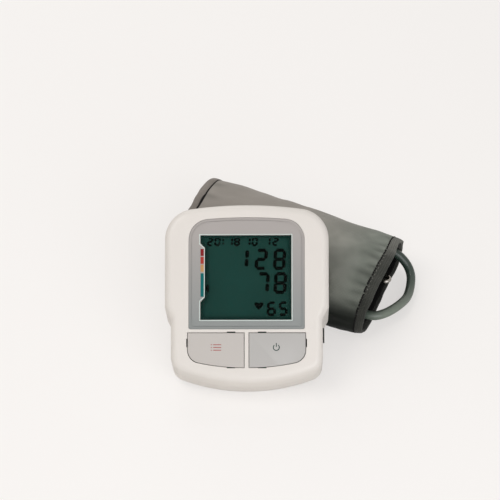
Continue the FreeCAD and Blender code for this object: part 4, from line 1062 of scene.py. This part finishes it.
@dataclass
class Display:
    """Window, printed mask, liquid crystal numerals, level scale and marker.

    Sizes are in the face frame: X across, Y up the slope from the front edge.
    """

    finishes: Finishes
    left: float = -33.8
    right: float = 32.7
    low: float = 45.4
    top: float = 107.3
    niche_depth: float = 3.4
    niche_low: float = 58.4
    niche_top: float = 101.4
    niche_slope: float = 3.0
    glass_top: float = -3.55
    lens_low: float = -1.9
    lens_top: float = -0.8
    lens_soft: float = 0.25
    print_width: float = 1.9
    bead_width: float = 0.55
    bead_heights: tuple[float, float] = (-0.3, -0.14)
    ink_heights: tuple[float, float] = (0.005, 0.06)          # over the glass
    marker_heights: tuple[float, float] = (-0.018, -0.006)    # under the lens
    slant: float = 0.07
    bar_gap: float = 0.08      # shares of a bar's width: where it starts, and how long its point is
    bar_point: float = 0.28
    numerals: tuple = (
        # text, left, foot, cell width, half height, pitch, bar width
        ("1", -6.9, 84.2, 6.6, 6.3, 0.0, 2.8), ("28", 6.9, 83.2, 6.6, 6.6, 13.4, 2.6),
        ("7", 7.9, 65.9, 6.9, 6.6, 0.0, 2.7), ("8", 20.6, 65.6, 7.0, 6.8, 0.0, 2.6),
        ("65", 15.4, 49.2, 4.8, 4.4, 8.5, 2.0),
        ("20", -28.5, 100.2, 3.1, 2.6, 5.4, 1.6), ("18", -14.0, 100.2, 3.1, 2.6, 5.2, 1.6),
        ("10", -1.1, 100.2, 3.1, 2.6, 5.3, 1.6), ("12", 13.6, 100.2, 3.1, 2.6, 5.7, 1.6),
    )
    colon: tuple = ((-17.8, 100.7, -16.4, 102.1), (-17.8, 103.3, -16.4, 104.7))
    heart_at: tuple[float, float] = (8.9, 55.9)
    heart: tuple = (
        (0.0, -3.1), (2.2, -1.1), (3.3, 0.6), (3.2, 1.8), (2.3, 2.5), (1.1, 2.4), (0.0, 1.5),
        (-1.1, 2.4), (-2.3, 2.5), (-3.2, 1.8), (-3.3, 0.6), (-2.2, -1.1))
    marker: tuple = ((-30.1, 68.6), (-28.9, 71.1), (-27.5, 71.1), (-27.5, 66.1), (-28.9, 66.1))
    field_sides: tuple[float, float] = (-33.6, -30.95)
    field_heights: tuple[float, float] = (-0.26, -0.17)
    fields: tuple = ((92.1, 97.2), (86.3, 91.4), (80.5, 85.7), (62.2, 79.4))

    def outline(self, grow: float) -> list[tuple[float, float]]:
        """Work out the window's corners, with the niche for the level scale.

        Args:
            grow: the margin added all round.

        Returns:
            Corners in order.
        """
        left, niche = self.left - grow, self.left + self.niche_depth - grow
        return rectangle(left, self.low - grow, self.right + grow, self.top + grow) + [
            (left, self.niche_top - grow), (niche, self.niche_top - self.niche_slope - grow),
            (niche, self.niche_low + self.niche_slope + grow), (left, self.niche_low + grow)]

    def build(self) -> None:
        """Build every piece of the display."""
        self.window()
        self.numbers()
        self.marks()
        self.levels()

    def window(self) -> None:
        """Build the lens, the print under its edge and the pale bead round it."""
        lens = bmesh.new()
        plate(lens, self.outline(-0.1), self.lens_low, self.lens_top, self.lens_soft)
        piece = lay_on_face("window_lens", lens, self.finishes.lens, smooth=20.0)
        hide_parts("display_lens")
        mask = bmesh.new()
        ring_plate(mask, self.outline(-0.12), self.print_width, self.lens_low - 0.07, self.lens_low - 0.02)
        lay_on_face("window_print", mask, self.finishes.mask)
        bead = bmesh.new()
        ring_plate(bead, self.outline(0.75), self.bead_width, *self.bead_heights)
        middle = sum(self.bead_heights) / 2.0
        soften(bead, [edge for edge in bead.edges if all(vert.co.z > middle for vert in edge.verts)], 0.07)
        lay_on_face("window_bead", bead, self.finishes.bead, smooth=30.0)

    def ink(self, shape: BMesh, outline: list[tuple[float, float]]) -> None:
        """Lay one dark field on the liquid crystal glass."""
        plate(shape, outline, *(self.glass_top + height for height in self.ink_heights))

    def segment_outline(
            self, segment: Segment, left: float, foot: float, cell: tuple[float, float],
            width: float) -> list[tuple[float, float]]:
        """Work out the six corners of one bar.

        Args:
            segment: which bar.
            left: left side of the cell.
            foot: bottom of the cell.
            cell: cell width and half height.
            width: the bar's width.

        Returns:
            Corners in order.
        """
        ends = [
            Vector((left + across * cell[0] + up * cell[1] * self.slant, foot + up * cell[1]))
            for across, up in segment.value]
        along = (ends[1] - ends[0]).normalized() * width
        side = Vector((-along.y, along.x)) / 2.0
        start, end = ends[0] + along * self.bar_gap, ends[1] - along * self.bar_gap
        inner = along * self.bar_point
        near, far = start + inner, end - inner
        return [tuple(corner) for corner in (start, near - side, far - side, end, far + side, near + side)]

    def numbers(self) -> None:
        """Build all numerals as thin bars on the glass."""
        shape = bmesh.new()
        for text, left, foot, wide, half, pitch, width in self.numerals:
            for index, digit in enumerate(text):
                for segment in Segment:
                    if segment not in UNLIT[digit]:
                        at = left + index * pitch
                        self.ink(shape, self.segment_outline(segment, at, foot, (wide, half), width))
        for dot in self.colon:
            self.ink(shape, rectangle(*dot))
        lay_on_face("numerals", shape, self.finishes.ink)

    def marks(self) -> None:
        """Build the heart and the arrow that points at the level scale."""
        shape = bmesh.new()
        self.ink(shape, [(self.heart_at[0] + x, self.heart_at[1] + y) for x, y in self.heart])
        plate(shape, self.marker, *(self.lens_low + height for height in self.marker_heights))
        lay_on_face("heart_and_marker", shape, self.finishes.ink)

    def levels(self) -> None:
        """Build the four printed fields of the level scale in the window's niche."""
        left, right = self.field_sides
        for index, (low, high) in enumerate(self.fields):
            shape = bmesh.new()
            plate(shape, rectangle(left, low, right, high), *self.field_heights, 0.03)
            lay_on_face(f"level_field_{index + 1}", shape, self.finishes.levels[index])


@dataclass
class KeySigns:
    """Pad-printed pictograms on the caps: a list for stored readings, a power sign for start."""

    finishes: Finishes
    heights: tuple[float, float] = (0.905, 0.94)
    list_at: tuple[float, float] = (-22.0, 25.2)
    list_pitch: float = 2.0
    list_bars: tuple = ((-2.2, 3.6), (-4.0, -3.2))
    power_at: tuple[float, float, float] = (21.6, 25.2, 0.0)
    ring_radius: float = 2.5
    ring_mouth: float = 80.0     # degrees that the ring leaves open
    ring_steps: int = 36
    stroke: tuple[float, float] = (0.4, 3.2)
    line: float = 0.62

    def build(self) -> None:
        """Build both signs on top of their caps."""
        self.list_sign()
        self.power_sign()

    def list_sign(self) -> None:
        """Build three rows of a dash and a dot."""
        shape = bmesh.new()
        half = self.line / 2.0
        x = self.list_at[0]
        for row in (-1, 0, 1):
            y = self.list_at[1] + row * self.list_pitch
            for left, right in self.list_bars:
                plate(shape, rectangle(x + left, y - half, x + right, y + half), *self.heights)
        lay_on_face("list_sign", shape, self.finishes.sign_red, "memory_key")

    def power_sign(self) -> None:
        """Spin an open ring and stand a stroke in its mouth."""
        shape = bmesh.new()
        low, high = self.heights
        half, start = self.line / 2.0, math.radians(self.ring_mouth / 2.0)
        arm = [
            shape.verts.new((radius * math.sin(start), radius * math.cos(start), low))
            for radius in (self.ring_radius - self.line, self.ring_radius)]
        edge = shape.edges.new(arm)
        bmesh.ops.spin(
            shape, geom=arm + [edge], cent=(0.0, 0.0, 0.0), axis=(0.0, 0.0, -1.0),
            angle=2.0 * (math.pi - start), steps=self.ring_steps)
        raise_faces(shape, shape.faces[:], high - low)
        plate(shape, rectangle(-half, self.stroke[0], half, self.stroke[1]), low, high)
        bmesh.ops.translate(shape, vec=self.power_at, verts=shape.verts)
        lay_on_face("power_sign", shape, self.finishes.sign_green, "start_key")


# ---------------------------------------------------------------- cuff
class End(Enum):
    """The two open ends of the roll, by the direction along the arm."""

    LEFT = -1
    RIGHT = 1


@dataclass
class RollShape:
    """The flattened roll's outline across the arm, in the cuff's frame."""

    half_length: float = 82.0
    half_width: float = 47.5
    height: float = 46.0
    foot_radius: float = 14.0
    back_radius: float = 22.5
    nose_radius: float = 30.0

    def spans(self, inset: float) -> list[tuple]:
        """Work out the outline's runs and arcs in order from the middle of the underside.

        Args:
            inset: how far the outline is moved in.

        Returns:
            For each span its kind, its length, its start or centre, and its direction or its radius and
            start angle.
        """
        wide, low, high = self.half_width - inset, inset, self.height - inset
        foot, back, nose = (
            max(radius - inset, 2.0) for radius in (self.foot_radius, self.back_radius, self.nose_radius))
        quarter = math.pi / 2.0
        return [
            ("run", wide - foot, (0.0, low), (1.0, 0.0)),
            ("arc", foot * quarter, (wide - foot, low + foot), (foot, -quarter)),
            ("run", high - back - low - foot, (wide, low + foot), (0.0, 1.0)),
            ("arc", back * quarter, (wide - back, high - back), (back, 0.0)),
            ("run", 2.0 * wide - back - nose, (wide - back, high), (-1.0, 0.0)),
            ("arc", nose * quarter, (nose - wide, high - nose), (nose, quarter)),
            ("run", max(high - nose - low - foot, 0.01), (-wide, high - nose), (0.0, -1.0)),
            ("arc", foot * quarter, (foot - wide, low + foot), (foot, 2.0 * quarter)),
            ("run", wide - foot, (foot - wide, low), (1.0, 0.0)),
        ]

    def perimeter(self, inset: float) -> float:
        """Return the outline's length."""
        return sum(span[1] for span in self.spans(inset))

    def at(self, share: float, inset: float) -> tuple[float, float]:
        """Find a point on the outline.

        Args:
            share: share of the way round.
            inset: how far the outline is moved in.

        Returns:
            How far across and how far above it lies.
        """
        rest = (share % 1.0) * self.perimeter(inset)
        for kind, length, place, form in self.spans(inset):
            if rest <= length:
                break
            rest -= length
        rest = min(rest, length)
        if kind == "run":
            return place[0] + form[0] * rest, place[1] + form[1] * rest
        angle = form[1] + rest / form[0]
        return place[0] + form[0] * math.cos(angle), place[1] + form[0] * math.sin(angle)


# How far the cloth's raw edges stand past the plain ends, by the share of the way round.
LEFT_EDGE = (
    (0.0, 0.4), (0.15, -0.4), (0.3, 0.4), (0.36, 1.4), (0.4, 2.0), (0.43, 2.4), (0.47, 1.1), (0.52, -0.4),
    (0.75, 0.3), (1.0, 0.4),
)
RIGHT_EDGE = (
    (0.0, -3.3), (0.05, -4.5), (0.12, -5.3), (0.2, -4.5), (0.27, -1.6), (0.33, 0.4), (0.38, 0.0),
    (0.42, 1.2), (0.46, 3.0), (0.5, 3.6), (0.6, 3.6), (0.66, 3.2), (0.72, 0.7), (0.8, -0.8), (0.9, -1.5),
    (1.0, -3.3),
)
# How far the back swells and the foot lifts, by the place along the arm.
BACK_SWELL = (
    (-90.0, 2.6), (-60.0, 2.7), (-40.0, 1.6), (-20.0, 0.5), (0.0, -1.2), (20.0, -1.6), (40.0, -1.4),
    (60.0, -1.3), (72.0, -2.2), (84.0, -5.3), (90.0, -6.0),
)
FOOT_LIFT = ((-90.0, 0.0), (40.0, 0.0), (62.0, 0.4), (72.0, 1.3), (82.0, 3.4), (90.0, 3.8))

# Puckers beside the stitch rows and long soft folds: share of the way round, width as a share, middle along
# the arm, reach along the arm to each side, skew in shares per millimetre, depth from 0 to 1.
CREASES = (
    (0.385, 0.008, 74.0, 6.0, 0.0004, 0.6), (0.432, 0.011, 73.0, 8.0, -0.0006, 0.5),
    (0.472, 0.008, 75.0, 6.0, 0.0, 1.0), (0.507, 0.013, 73.0, 9.0, 0.0007, 0.9),
    (0.548, 0.009, 75.0, 6.0, -0.0005, 0.9), (0.583, 0.013, 73.0, 10.0, 0.0006, 1.0),
    (0.622, 0.009, 75.0, 7.0, 0.0, 1.0), (0.652, 0.010, 73.0, 9.0, -0.0005, 0.8),
    (0.690, 0.009, 73.0, 10.0, 0.0004, 0.9), (0.725, 0.010, 68.0, 16.0, -0.0003, 0.7),
    (0.765, 0.010, 62.0, 18.0, 0.0002, 0.6), (0.560, 0.034, 40.0, 14.0, 0.0020, 0.22),
    (0.640, 0.030, 30.0, 14.0, -0.0020, 0.25), (0.705, 0.012, 44.0, 20.0, 0.0003, 0.4),
    (0.745, 0.010, 36.0, 16.0, -0.0003, 0.5), (0.330, 0.012, -73.0, 8.0, 0.0005, 0.6),
    (0.390, 0.010, -74.0, 6.0, -0.0004, 0.5), (0.450, 0.012, -73.0, 8.0, 0.0004, 0.5),
    (0.280, 0.012, -73.0, 8.0, 0.0, 0.6), (0.230, 0.010, -73.0, 8.0, 0.0004, 0.6),
    (0.180, 0.010, 73.0, 9.0, 0.0004, 0.7), (0.225, 0.010, 74.0, 8.0, -0.0004, 0.8),
    (0.275, 0.012, 73.0, 10.0, 0.0004, 0.7), (0.330, 0.010, 74.0, 7.0, 0.0, 0.6),
    (0.300, 0.030, 20.0, 20.0, 0.0010, 0.25), (0.200, 0.026, -30.0, 20.0, -0.0010, 0.25),
    (0.150, 0.012, -70.0, 10.0, 0.0, 0.6),
)


def hill(place: float, middle: float, width: float) -> float:
    """Return a soft hill's height: one at its middle, falling away over its width."""
    return math.exp(-((place - middle) / width) ** 2)


def crease_depth(x: float, share: float) -> float:
    """Look up how deep the cloth is creased at a place.

    Args:
        x: place along the arm in millimetres.
        share: share of the way round.

    Returns:
        The depth, from 0 to about 1.
    """
    depth = 0.0
    for middle, width, at, reach, skew, deep in CREASES:
        across = (share - middle - skew * (x - at)) / width
        along = (x - at) / reach
        if abs(across) < 3.0 and abs(along) < 2.5:
            depth = max(depth, deep * math.exp(-across * across - along * along))
    return depth


def table_value(table: tuple, place: float) -> float:
    """Read a table of places and values, eased between its rows.

    Args:
        table: rows in rising order.
        place: where to read, held to the table's ends.

    Returns:
        The value there.
    """
    place = min(max(place, table[0][0]), table[-1][0])
    for (low, first), (high, second) in zip(table, table[1:]):
        if place <= high:
            share = (place - low) / (high - low)
            return first + (second - first) * share * share * (3.0 - 2.0 * share)
    return table[-1][1]


def cloth_grid(
        squares: tuple[int, int], layer: str, lengths: tuple[float, float], turned: bool = False,
        start: float = 0.0) -> BMesh:
    """Start a piece of cloth as a grid one wide and one high, its real lengths in its own UV map.

    Args:
        squares: how many squares in X and Y.
        layer: the UV map's name.
        lengths: the flat cloth's lengths along the grid's X and Y, in millimetres.
        turned: whether U runs along the grid's Y.
        start: what is added to U, in millimetres.

    Returns:
        The grid.
    """
    shape = bmesh.new()
    bmesh.ops.create_grid(shape, x_segments=squares[0], y_segments=squares[1], size=0.5)
    flat = shape.loops.layers.uv.new(layer)
    for face in shape.faces:
        for loop in face.loops:
            x, y = loop.vert.co.x * lengths[0], loop.vert.co.y * lengths[1]
            along, over = (y, x) if turned else (x, y)
            loop[flat].uv = ((start + along) * MM, over * MM)
    return shape


def thicken(piece: Object, thick: float) -> None:
    """Give a sheet a wall on its inner side, in millimetres."""
    modify(piece, "thickness", "SOLIDIFY", thickness=thick * MM, offset=-1.0)


def round_off(piece: Object) -> None:
    """Smooth a sheet's facets once, alike in view and render."""
    modify(piece, "smooth", "SUBSURF", levels=1, render_levels=1)


@dataclass
class Cuff:
    """Arm cuff: outer cloth, a lining painted near-black as shade, ribbed edge bindings, stitch rows and the
    flap's end.
    """

    finishes: Finishes
    roll: RollShape = field(default_factory=RollShape)
    cell: float = 2.0
    cloth: float = 1.8
    cloth_play: float = 1.5        # the furthest that the cloth may settle
    lining: float = 1.6
    lining_play: float = 1.2
    lining_inset: float = 5.9
    lining_short: float = 2.2
    crease_mm: float = 1.1
    frames: int = 20
    shrink: float = -0.035         # below zero the cloth grows, and so wrinkles
    press_clear: float = 0.5
    base_half: float = 61.0        # the casing's base, as far as the cuff may touch it
    base_back: float = 128.0
    foot_places: tuple = ((44.0, 106.0), (-44.0, 106.0))
    foot_radius: float = 6.2
    foot_proud: float = 1.0
    floor_clear: float = 0.15
    binding_widths: tuple[float, float] = (5.0, 5.6)
    binding_rows: int = 120
    binding_tape: float = 14.0
    binding_thick: float = 0.3
    shade_from: tuple[float, float] = (0.86, 0.31)     # shares of the way round where the right binding is painted black as shade
    flap_at: float = 0.235
    flap_tape: float = 9.0
    flap_clear: float = 2.4
    flap_steps: int = 60
    flap_profile: tuple = ((-0.017, 0.05), (-0.015, 0.75), (0.0, 0.85), (0.015, 0.75), (0.018, 0.05))

    def build(self) -> None:
        """Build the sheets, bind and stitch them."""
        look = self.finishes
        outer = self.sheet("outer_cloth", 0.0, 0.0)
        self.settle(outer, self.cloth_play)
        surface = self.surface_of(outer)
        self.finish_cloth(outer, "cuff_outer_wrap", look.fabric, self.cloth)
        lining = self.sheet("shaded_lining", self.lining_inset, self.lining_short)
        self.settle(lining, self.lining_play)
        self.finish_cloth(lining, "cuff_inner_wrap", look.lining, self.lining)
        for end in End:
            self.binding(end, surface)
            self.stitch_row(end, surface)
        self.flap_end(surface)

    def shape_point(self, x: float, share: float, inset: float) -> Vector:
        """Place one point of a sheet before it is settled, in the cuff's frame.

        Args:
            x: place along the arm from the middle.
            share: share of the way round.
            inset: depth under the roll's outline.

        Returns:
            The point in millimetres.
        """
        share %= 1.0
        end = End.RIGHT if x > 0.0 else End.LEFT
        # The last 30% towards each end is stretched to the raw edge's own line.
        stretch = max(0.0, (abs(x) / self.roll.half_length - 0.7) / 0.3)
        bulge = table_value(LEFT_EDGE if end is End.LEFT else RIGHT_EDGE, share)
        bulge *= stretch ** 2 * (1.0 if inset == 0.0 else 0.8)
        across, above = self.roll.at(share, inset)
        out = (Vector((across, above)) - Vector((0.0, self.roll.height / 2.0))).normalized()
        # Slow waves above the underside, a swollen back and, at the right end, a curled rim.
        lift = 0.6 * math.sin(x / 17.0 + 5.0 * share) * math.sin(6.0 * math.pi * share + x / 31.0)
        lift *= min(1.0, max(0.0, (above - 4.0) / 12.0))
        lift += table_value(BACK_SWELL, x) * hill(share, 0.33, 0.1)
        if end is End.RIGHT:
            lift += max(0.0, stretch - 0.72) / 0.28 * hill(share, 0.36, 0.07)
        foot = table_value(FOOT_LIFT, x) * hill(share, 0.815, 0.06)
        return Vector((
            x + end.value * bulge, across + out.x * lift + foot * 0.5, above + out.y * lift + foot * 0.8))

    def sheet(self, name: str, inset: float, short: float) -> Object:
        """Roll a flat grid into a tube of cloth with its lengths in its own UV map.

        Args:
            name: the piece's name.
            inset: depth under the roll's outline.
            short: how much shorter each end is.

        Returns:
            The sheet, a single layer.
        """
        length = 2.0 * (self.roll.half_length - short)
        girth = self.roll.perimeter(inset)
        squares = (round(length / self.cell), round(girth / self.cell))
        shape = cloth_grid(squares, "cloth", (length, girth))
        creased = shape.verts.layers.float.new("crease")
        for vert in shape.verts:
            x, share = vert.co.x * length, vert.co.y + 0.5
            vert[creased] = crease_depth(x, share)
            vert.co = self.shape_point(x, share, inset)
        bmesh.ops.remove_doubles(shape, verts=shape.verts, dist=0.05)
        return finish_mesh(name, shape, in_millimetres(CUFF), ALL_SMOOTH)

    def pressed(self, point: Vector) -> Vector:
        """Push a point clear of the casing's base, its feet and the floor.

        Args:
            point: a point of the cloth, in the table frame.

        Returns:
            Where it comes to lie.
        """
        local = (MONITOR.inverted() @ point) / MM
        on_foot = any(math.hypot(local.x - x, local.y - y) < self.foot_radius for x, y in self.foot_places)
        under = self.press_clear + (self.foot_proud if on_foot else 0.0)
        if local.z > -under and abs(local.x) < self.base_half and local.y < self.base_back:
            local.z = -under
            point = MONITOR @ (local * MM)
        return Vector((point.x, point.y, max(point.z, self.floor_clear * MM)))

    def simulate(self, piece: Object) -> list[Vector]:
        """Let the cloth grow a little and wrinkle, with the underside held.

        Args:
            piece: the single-layer sheet.

        Returns:
            Where its points come to rest.
        """
        held = piece.vertex_groups.new(name="held")
        low = [vert.index for vert in piece.data.vertices if vert.co.z < 3.0 * MM]
        held.add(low, 1.0, "REPLACE")
        cloth = piece.modifiers.new("settle", "CLOTH")
        settings = {
            "quality": 6, "mass": 0.2, "tension_stiffness": 12.0, "compression_stiffness": 12.0,
            "shear_stiffness": 5.0, "bending_stiffness": 0.3, "shrink_min": self.shrink,
            "use_pressure": True, "uniform_pressure_force": 0.6, "vertex_group_mass": "held"}
        for name, value in settings.items():
            setattr(cloth.settings, name, value)
        cloth.settings.effector_weights.gravity = 0.0
        cloth.collision_settings.use_collision = False
        for step in range(1, self.frames + 1):
            bpy.context.scene.frame_set(step)
        settled = piece.evaluated_get(bpy.context.evaluated_depsgraph_get())
        moved = [vert.co.copy() for vert in settled.data.vertices]
        piece.modifiers.remove(cloth)
        bpy.context.scene.frame_set(1)
        return moved

    def settle(self, piece: Object, play: float) -> None:
        """Settle a sheet, press its creases in and push it clear of what it touches.

        Args:
            piece: the single-layer sheet.
            play: the furthest that a point may settle, in millimetres.
        """
        limit = play * MM
        for vert, place in zip(piece.data.vertices, self.simulate(piece)):
            shift = place - vert.co
            vert.co += shift * (limit / (limit + shift.length))
        normals = [vert.normal.copy() for vert in piece.data.vertices]
        creased = piece.data.attributes["crease"].data
        for vert, normal, crease in zip(piece.data.vertices, normals, creased):
            vert.co = self.pressed(vert.co - normal * self.crease_mm * crease.value * MM)

    def surface_of(self, piece: Object) -> BVHTree:
        """Make a search tree of a settled sheet.

        Args:
            piece: the sheet.

        Returns:
            The tree.
        """
        shape = bmesh.new()
        shape.from_mesh(piece.data)
        bmesh.ops.recalc_face_normals(shape, faces=shape.faces)
        tree = BVHTree.FromBMesh(shape)
        shape.free()
        return tree

    def finish_cloth(
            self, piece: Object, node: str, material: Material,
            thick: float) -> None:
        """Thicken the sheet inwards, smooth it and let it stand for its CAD node.

        Args:
            piece: the settled sheet.
            node: the CAD node that it replaces.
            material: the cloth's finish.
            thick: thickness in millimetres.
        """
        thicken(piece, thick)
        round_off(piece)
        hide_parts(node)
        dress(piece, material)

    def on_surface(self, surface: BVHTree, x: float, share: float) -> tuple[Vector, Vector]:
        """Find the settled point and outward normal nearest to a place on the roll.

        Args:
            surface: the settled sheet.
            x: place along the arm.
            share: share of the way round.

        Returns:
            Point in metres and unit normal, both in the table frame.
        """
        point, normal, _, _ = surface.find_nearest(CUFF @ (self.shape_point(x, share, 0.0) * MM))
        centre = CUFF @ (Vector((x, 0.0, self.roll.height / 2.0)) * MM)
        return point, -normal if normal.dot(point - centre) < 0.0 else normal

    def binding_width(self, end: End) -> float:
        """Return how far the binding reaches in from the plain end."""
        return self.binding_widths[0 if end is End.LEFT else 1]

    def binding(self, end: End, surface: BVHTree) -> None:
        """Fold a ribbed tape over one raw end of the cloth.

        Args:
            end: which end.
            surface: the settled sheet.
        """
        wide, tip = self.binding_width(end), self.roll.half_length
        # Places along the arm from the plain end and heights over the cloth, from the tape's outer edge,
        # over the fold and back inside.
        profile = (
            (-wide, 0.12), (-wide + 0.8, 0.5), (-3.0, 0.62), (-0.8, 0.55), (0.45, 0.1), (0.75, -0.9),
            (0.4, -1.9), (-0.8, -2.25), (-4.2, -2.3))
        last = len(profile) - 1
        lengths = (self.binding_tape, self.roll.perimeter(0.0))
        shape = cloth_grid((last, self.binding_rows), "tape", lengths, turned=True)
        # Painted shade: the right binding turns black where it runs into the roll's dark far side.
        dark_low, dark_high = self.shade_from
        for face in shape.faces:
            share = face.calc_center_median().y + 0.5
            face.material_index = int(end is End.RIGHT and (share > dark_low or share < dark_high))
        outwards = (CUFF.to_3x3() @ Vector((float(end.value), 0.0, 0.0))).normalized()
        for vert in shape.verts:
            along, rise = profile[round((vert.co.x + 0.5) * last)]
            point, normal = self.on_surface(surface, end.value * (tip + min(along, 0.0)), vert.co.y + 0.5)
            vert.co = point + outwards * max(along, 0.0) * MM + normal * rise * MM
        bmesh.ops.remove_doubles(shape, verts=shape.verts, dist=0.05 * MM)
        for vert in shape.verts:
            vert.co.z = max(vert.co.z, 0.02 * MM)
        piece = finish_mesh(f"edge_binding_{end.name.lower()}", shape, IN_PLACE, ALL_SMOOTH)
        round_off(piece)
        thicken(piece, self.binding_thick)
        dress(piece, self.finishes.tape if end is End.LEFT else self.finishes.tape_shaded)
        piece.data.materials.append(self.finishes.tape_in_shade)

    def stitches(
            self, name: str, places: list[tuple], half_long: float, material: Material) -> None:
        """Lay one row of thread stitches.

        Args:
            name: the row's name.
            places: for each stitch its middle, direction, surface normal and half width in millimetres.
            half_long: half length of a stitch in millimetres.
            material: the thread's finish.
        """
        row = bmesh.new()
        for middle, along, normal, thick in places:
            made = bmesh.ops.create_icosphere(row, subdivisions=1, radius=1.0)["verts"]
            side = along.cross(normal).normalized()
            turn = Matrix((along.normalized(), side, normal)).transposed().to_4x4()
            size = Matrix.Diagonal((half_long * MM, thick * MM, 0.25 * MM, 1.0))
            bmesh.ops.transform(row, matrix=Matrix.Translation(middle) @ turn @ size, verts=made)
        dress(finish_mesh(name, row, IN_PLACE, ALL_SMOOTH), material)

    def row_places(self, surface: BVHTree, x: float, count: int, rise: float, thick: tuple) -> list[tuple]:
        """Space stitches evenly round the roll.

        Args:
            surface: the settled sheet.
            x: place along the arm.
            count: stitches for a full turn.
            rise: height over the cloth in millimetres.
            thick: table of the half width by the share of the way round, none where it is zero.

        Returns:
            Middle, direction, normal and half width of each.
        """
        spots = [self.on_surface(surface, x, index / count) for index in range(count)]
        places = []
        for index, (point, normal) in enumerate(spots):
            half = table_value(thick, index / count)
            ahead = spots[(index + 1) % count][0] - point
            along = ahead - normal * ahead.dot(normal)
            if point.z > 1.0 * MM and along.length > 0.0 and half > 0.0:
                places.append((point + normal * rise * MM, along, normal, half))
        return places

    def stitch_row(self, end: End, surface: BVHTree) -> None:
        """Stitch beside the binding of one end; on the left the thread widens as painted shade, and over the
        right one a pale row is a painted highlight.

        Args:
            end: which end.
            surface: the settled sheet.
        """
        x = end.value * (self.roll.half_length - self.binding_width(end) - 0.5)
        thread = self.finishes.thread
        if end is End.LEFT:
            # Painted shade: the black thread widens to a dark band where the seam gap opens at the front.
            thick = ((0.0, 0.55), (0.39, 0.55), (0.44, 0.9), (0.48, 1.5), (0.53, 0.7), (1.0, 0.55))
            self.stitches("stitch_row_left", self.row_places(surface, x, 150, 0.12, thick), 1.5, thread)
            return
        thick = ((0.0, 0.8), (1.0, 0.8))
        self.stitches("stitch_row_right", self.row_places(surface, x, 104, 0.1, thick), 1.45, thread)
        # Painted highlight: a pale row along the lit side of the right seam.
        thick = ((0.0, 0.0), (0.47, 0.0), (0.49, 0.28), (0.64, 0.28), (0.66, 0.0), (1.0, 0.0))
        places = self.row_places(surface, x + 1.5, 66, 0.68, thick)
        self.stitches("seam_highlight_right", places, 1.0, self.finishes.seam_highlight)

    def flap_end(self, surface: BVHTree) -> None:
        """Tape the flap's end along the roll's back, where the last turn lies on the one below.

        Args:
            surface: the settled sheet.
        """
        last = len(self.flap_profile) - 1
        length = 2.0 * (self.roll.half_length - max(self.binding_widths) - self.flap_clear)
        shape = cloth_grid(
            (self.flap_steps, last), "tape", (length, self.flap_tape), turned=True,
            start=(self.flap_at - 0.5) * GIRTH_MM)
        for vert in shape.verts:
            aside, rise = self.flap_profile[round((vert.co.y + 0.5) * last)]
            point, normal = self.on_surface(surface, vert.co.x * length, self.flap_at + aside)
            vert.co = point + normal * rise * MM
        piece = finish_mesh("flap_end_tape", shape, IN_PLACE, ALL_SMOOTH)
        round_off(piece)
        dress(piece, self.finishes.tape)


@dataclass
class Internals:
    """Pieces inside the casing and the cuff's fittings keep their CAD forms."""

    finishes: Finishes

    def build(self) -> None:
        """Give every carried-over node its finish."""
        look = self.finishes
        choices = (
            (look.crystal, ("lcd_glass",)),
            (look.black, ("lcd_frame", "air_socket", "adapter_jack", "tact_switches", "buzzer")),
            (look.rubber, ("zebra_strip", "rubber_feet", "hose_grommet")),
            (look.steel, ("case_screws", "board_screws", "pump_motor", "exhaust_valve", "valve_plunger")),
            (look.cell, ("batteries",)),
            (look.copper, ("battery_contacts", "motor_rotor")),
            (look.case, ("battery_door",)),
            (look.grey, ("pump_head", "air_manifold", "pressure_sensor", "hose_plug")),
            (look.silicone, ("inner_tubes",)),
            (look.board, ("main_board",)),
            (look.film, ("cuff_bladder",)),
            (look.nickel, ("d_ring",)),
        )
        for material, nodes in choices:
            for node in nodes:
                dress(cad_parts[node], material, body=None)


def main() -> None:
    """Build the scene piece by piece."""
    logging.basicConfig(level=logging.INFO, format="%(message)s")
    Viewpoint().build()
    Studio().build()
    finishes = Finishes()
    for assembly in (Hose, Casing, Display, KeySigns, Cuff, Internals):
        assembly(finishes).build()
        LOG.info("%s built", assembly.__name__)


if __name__ == "__main__":
    main()
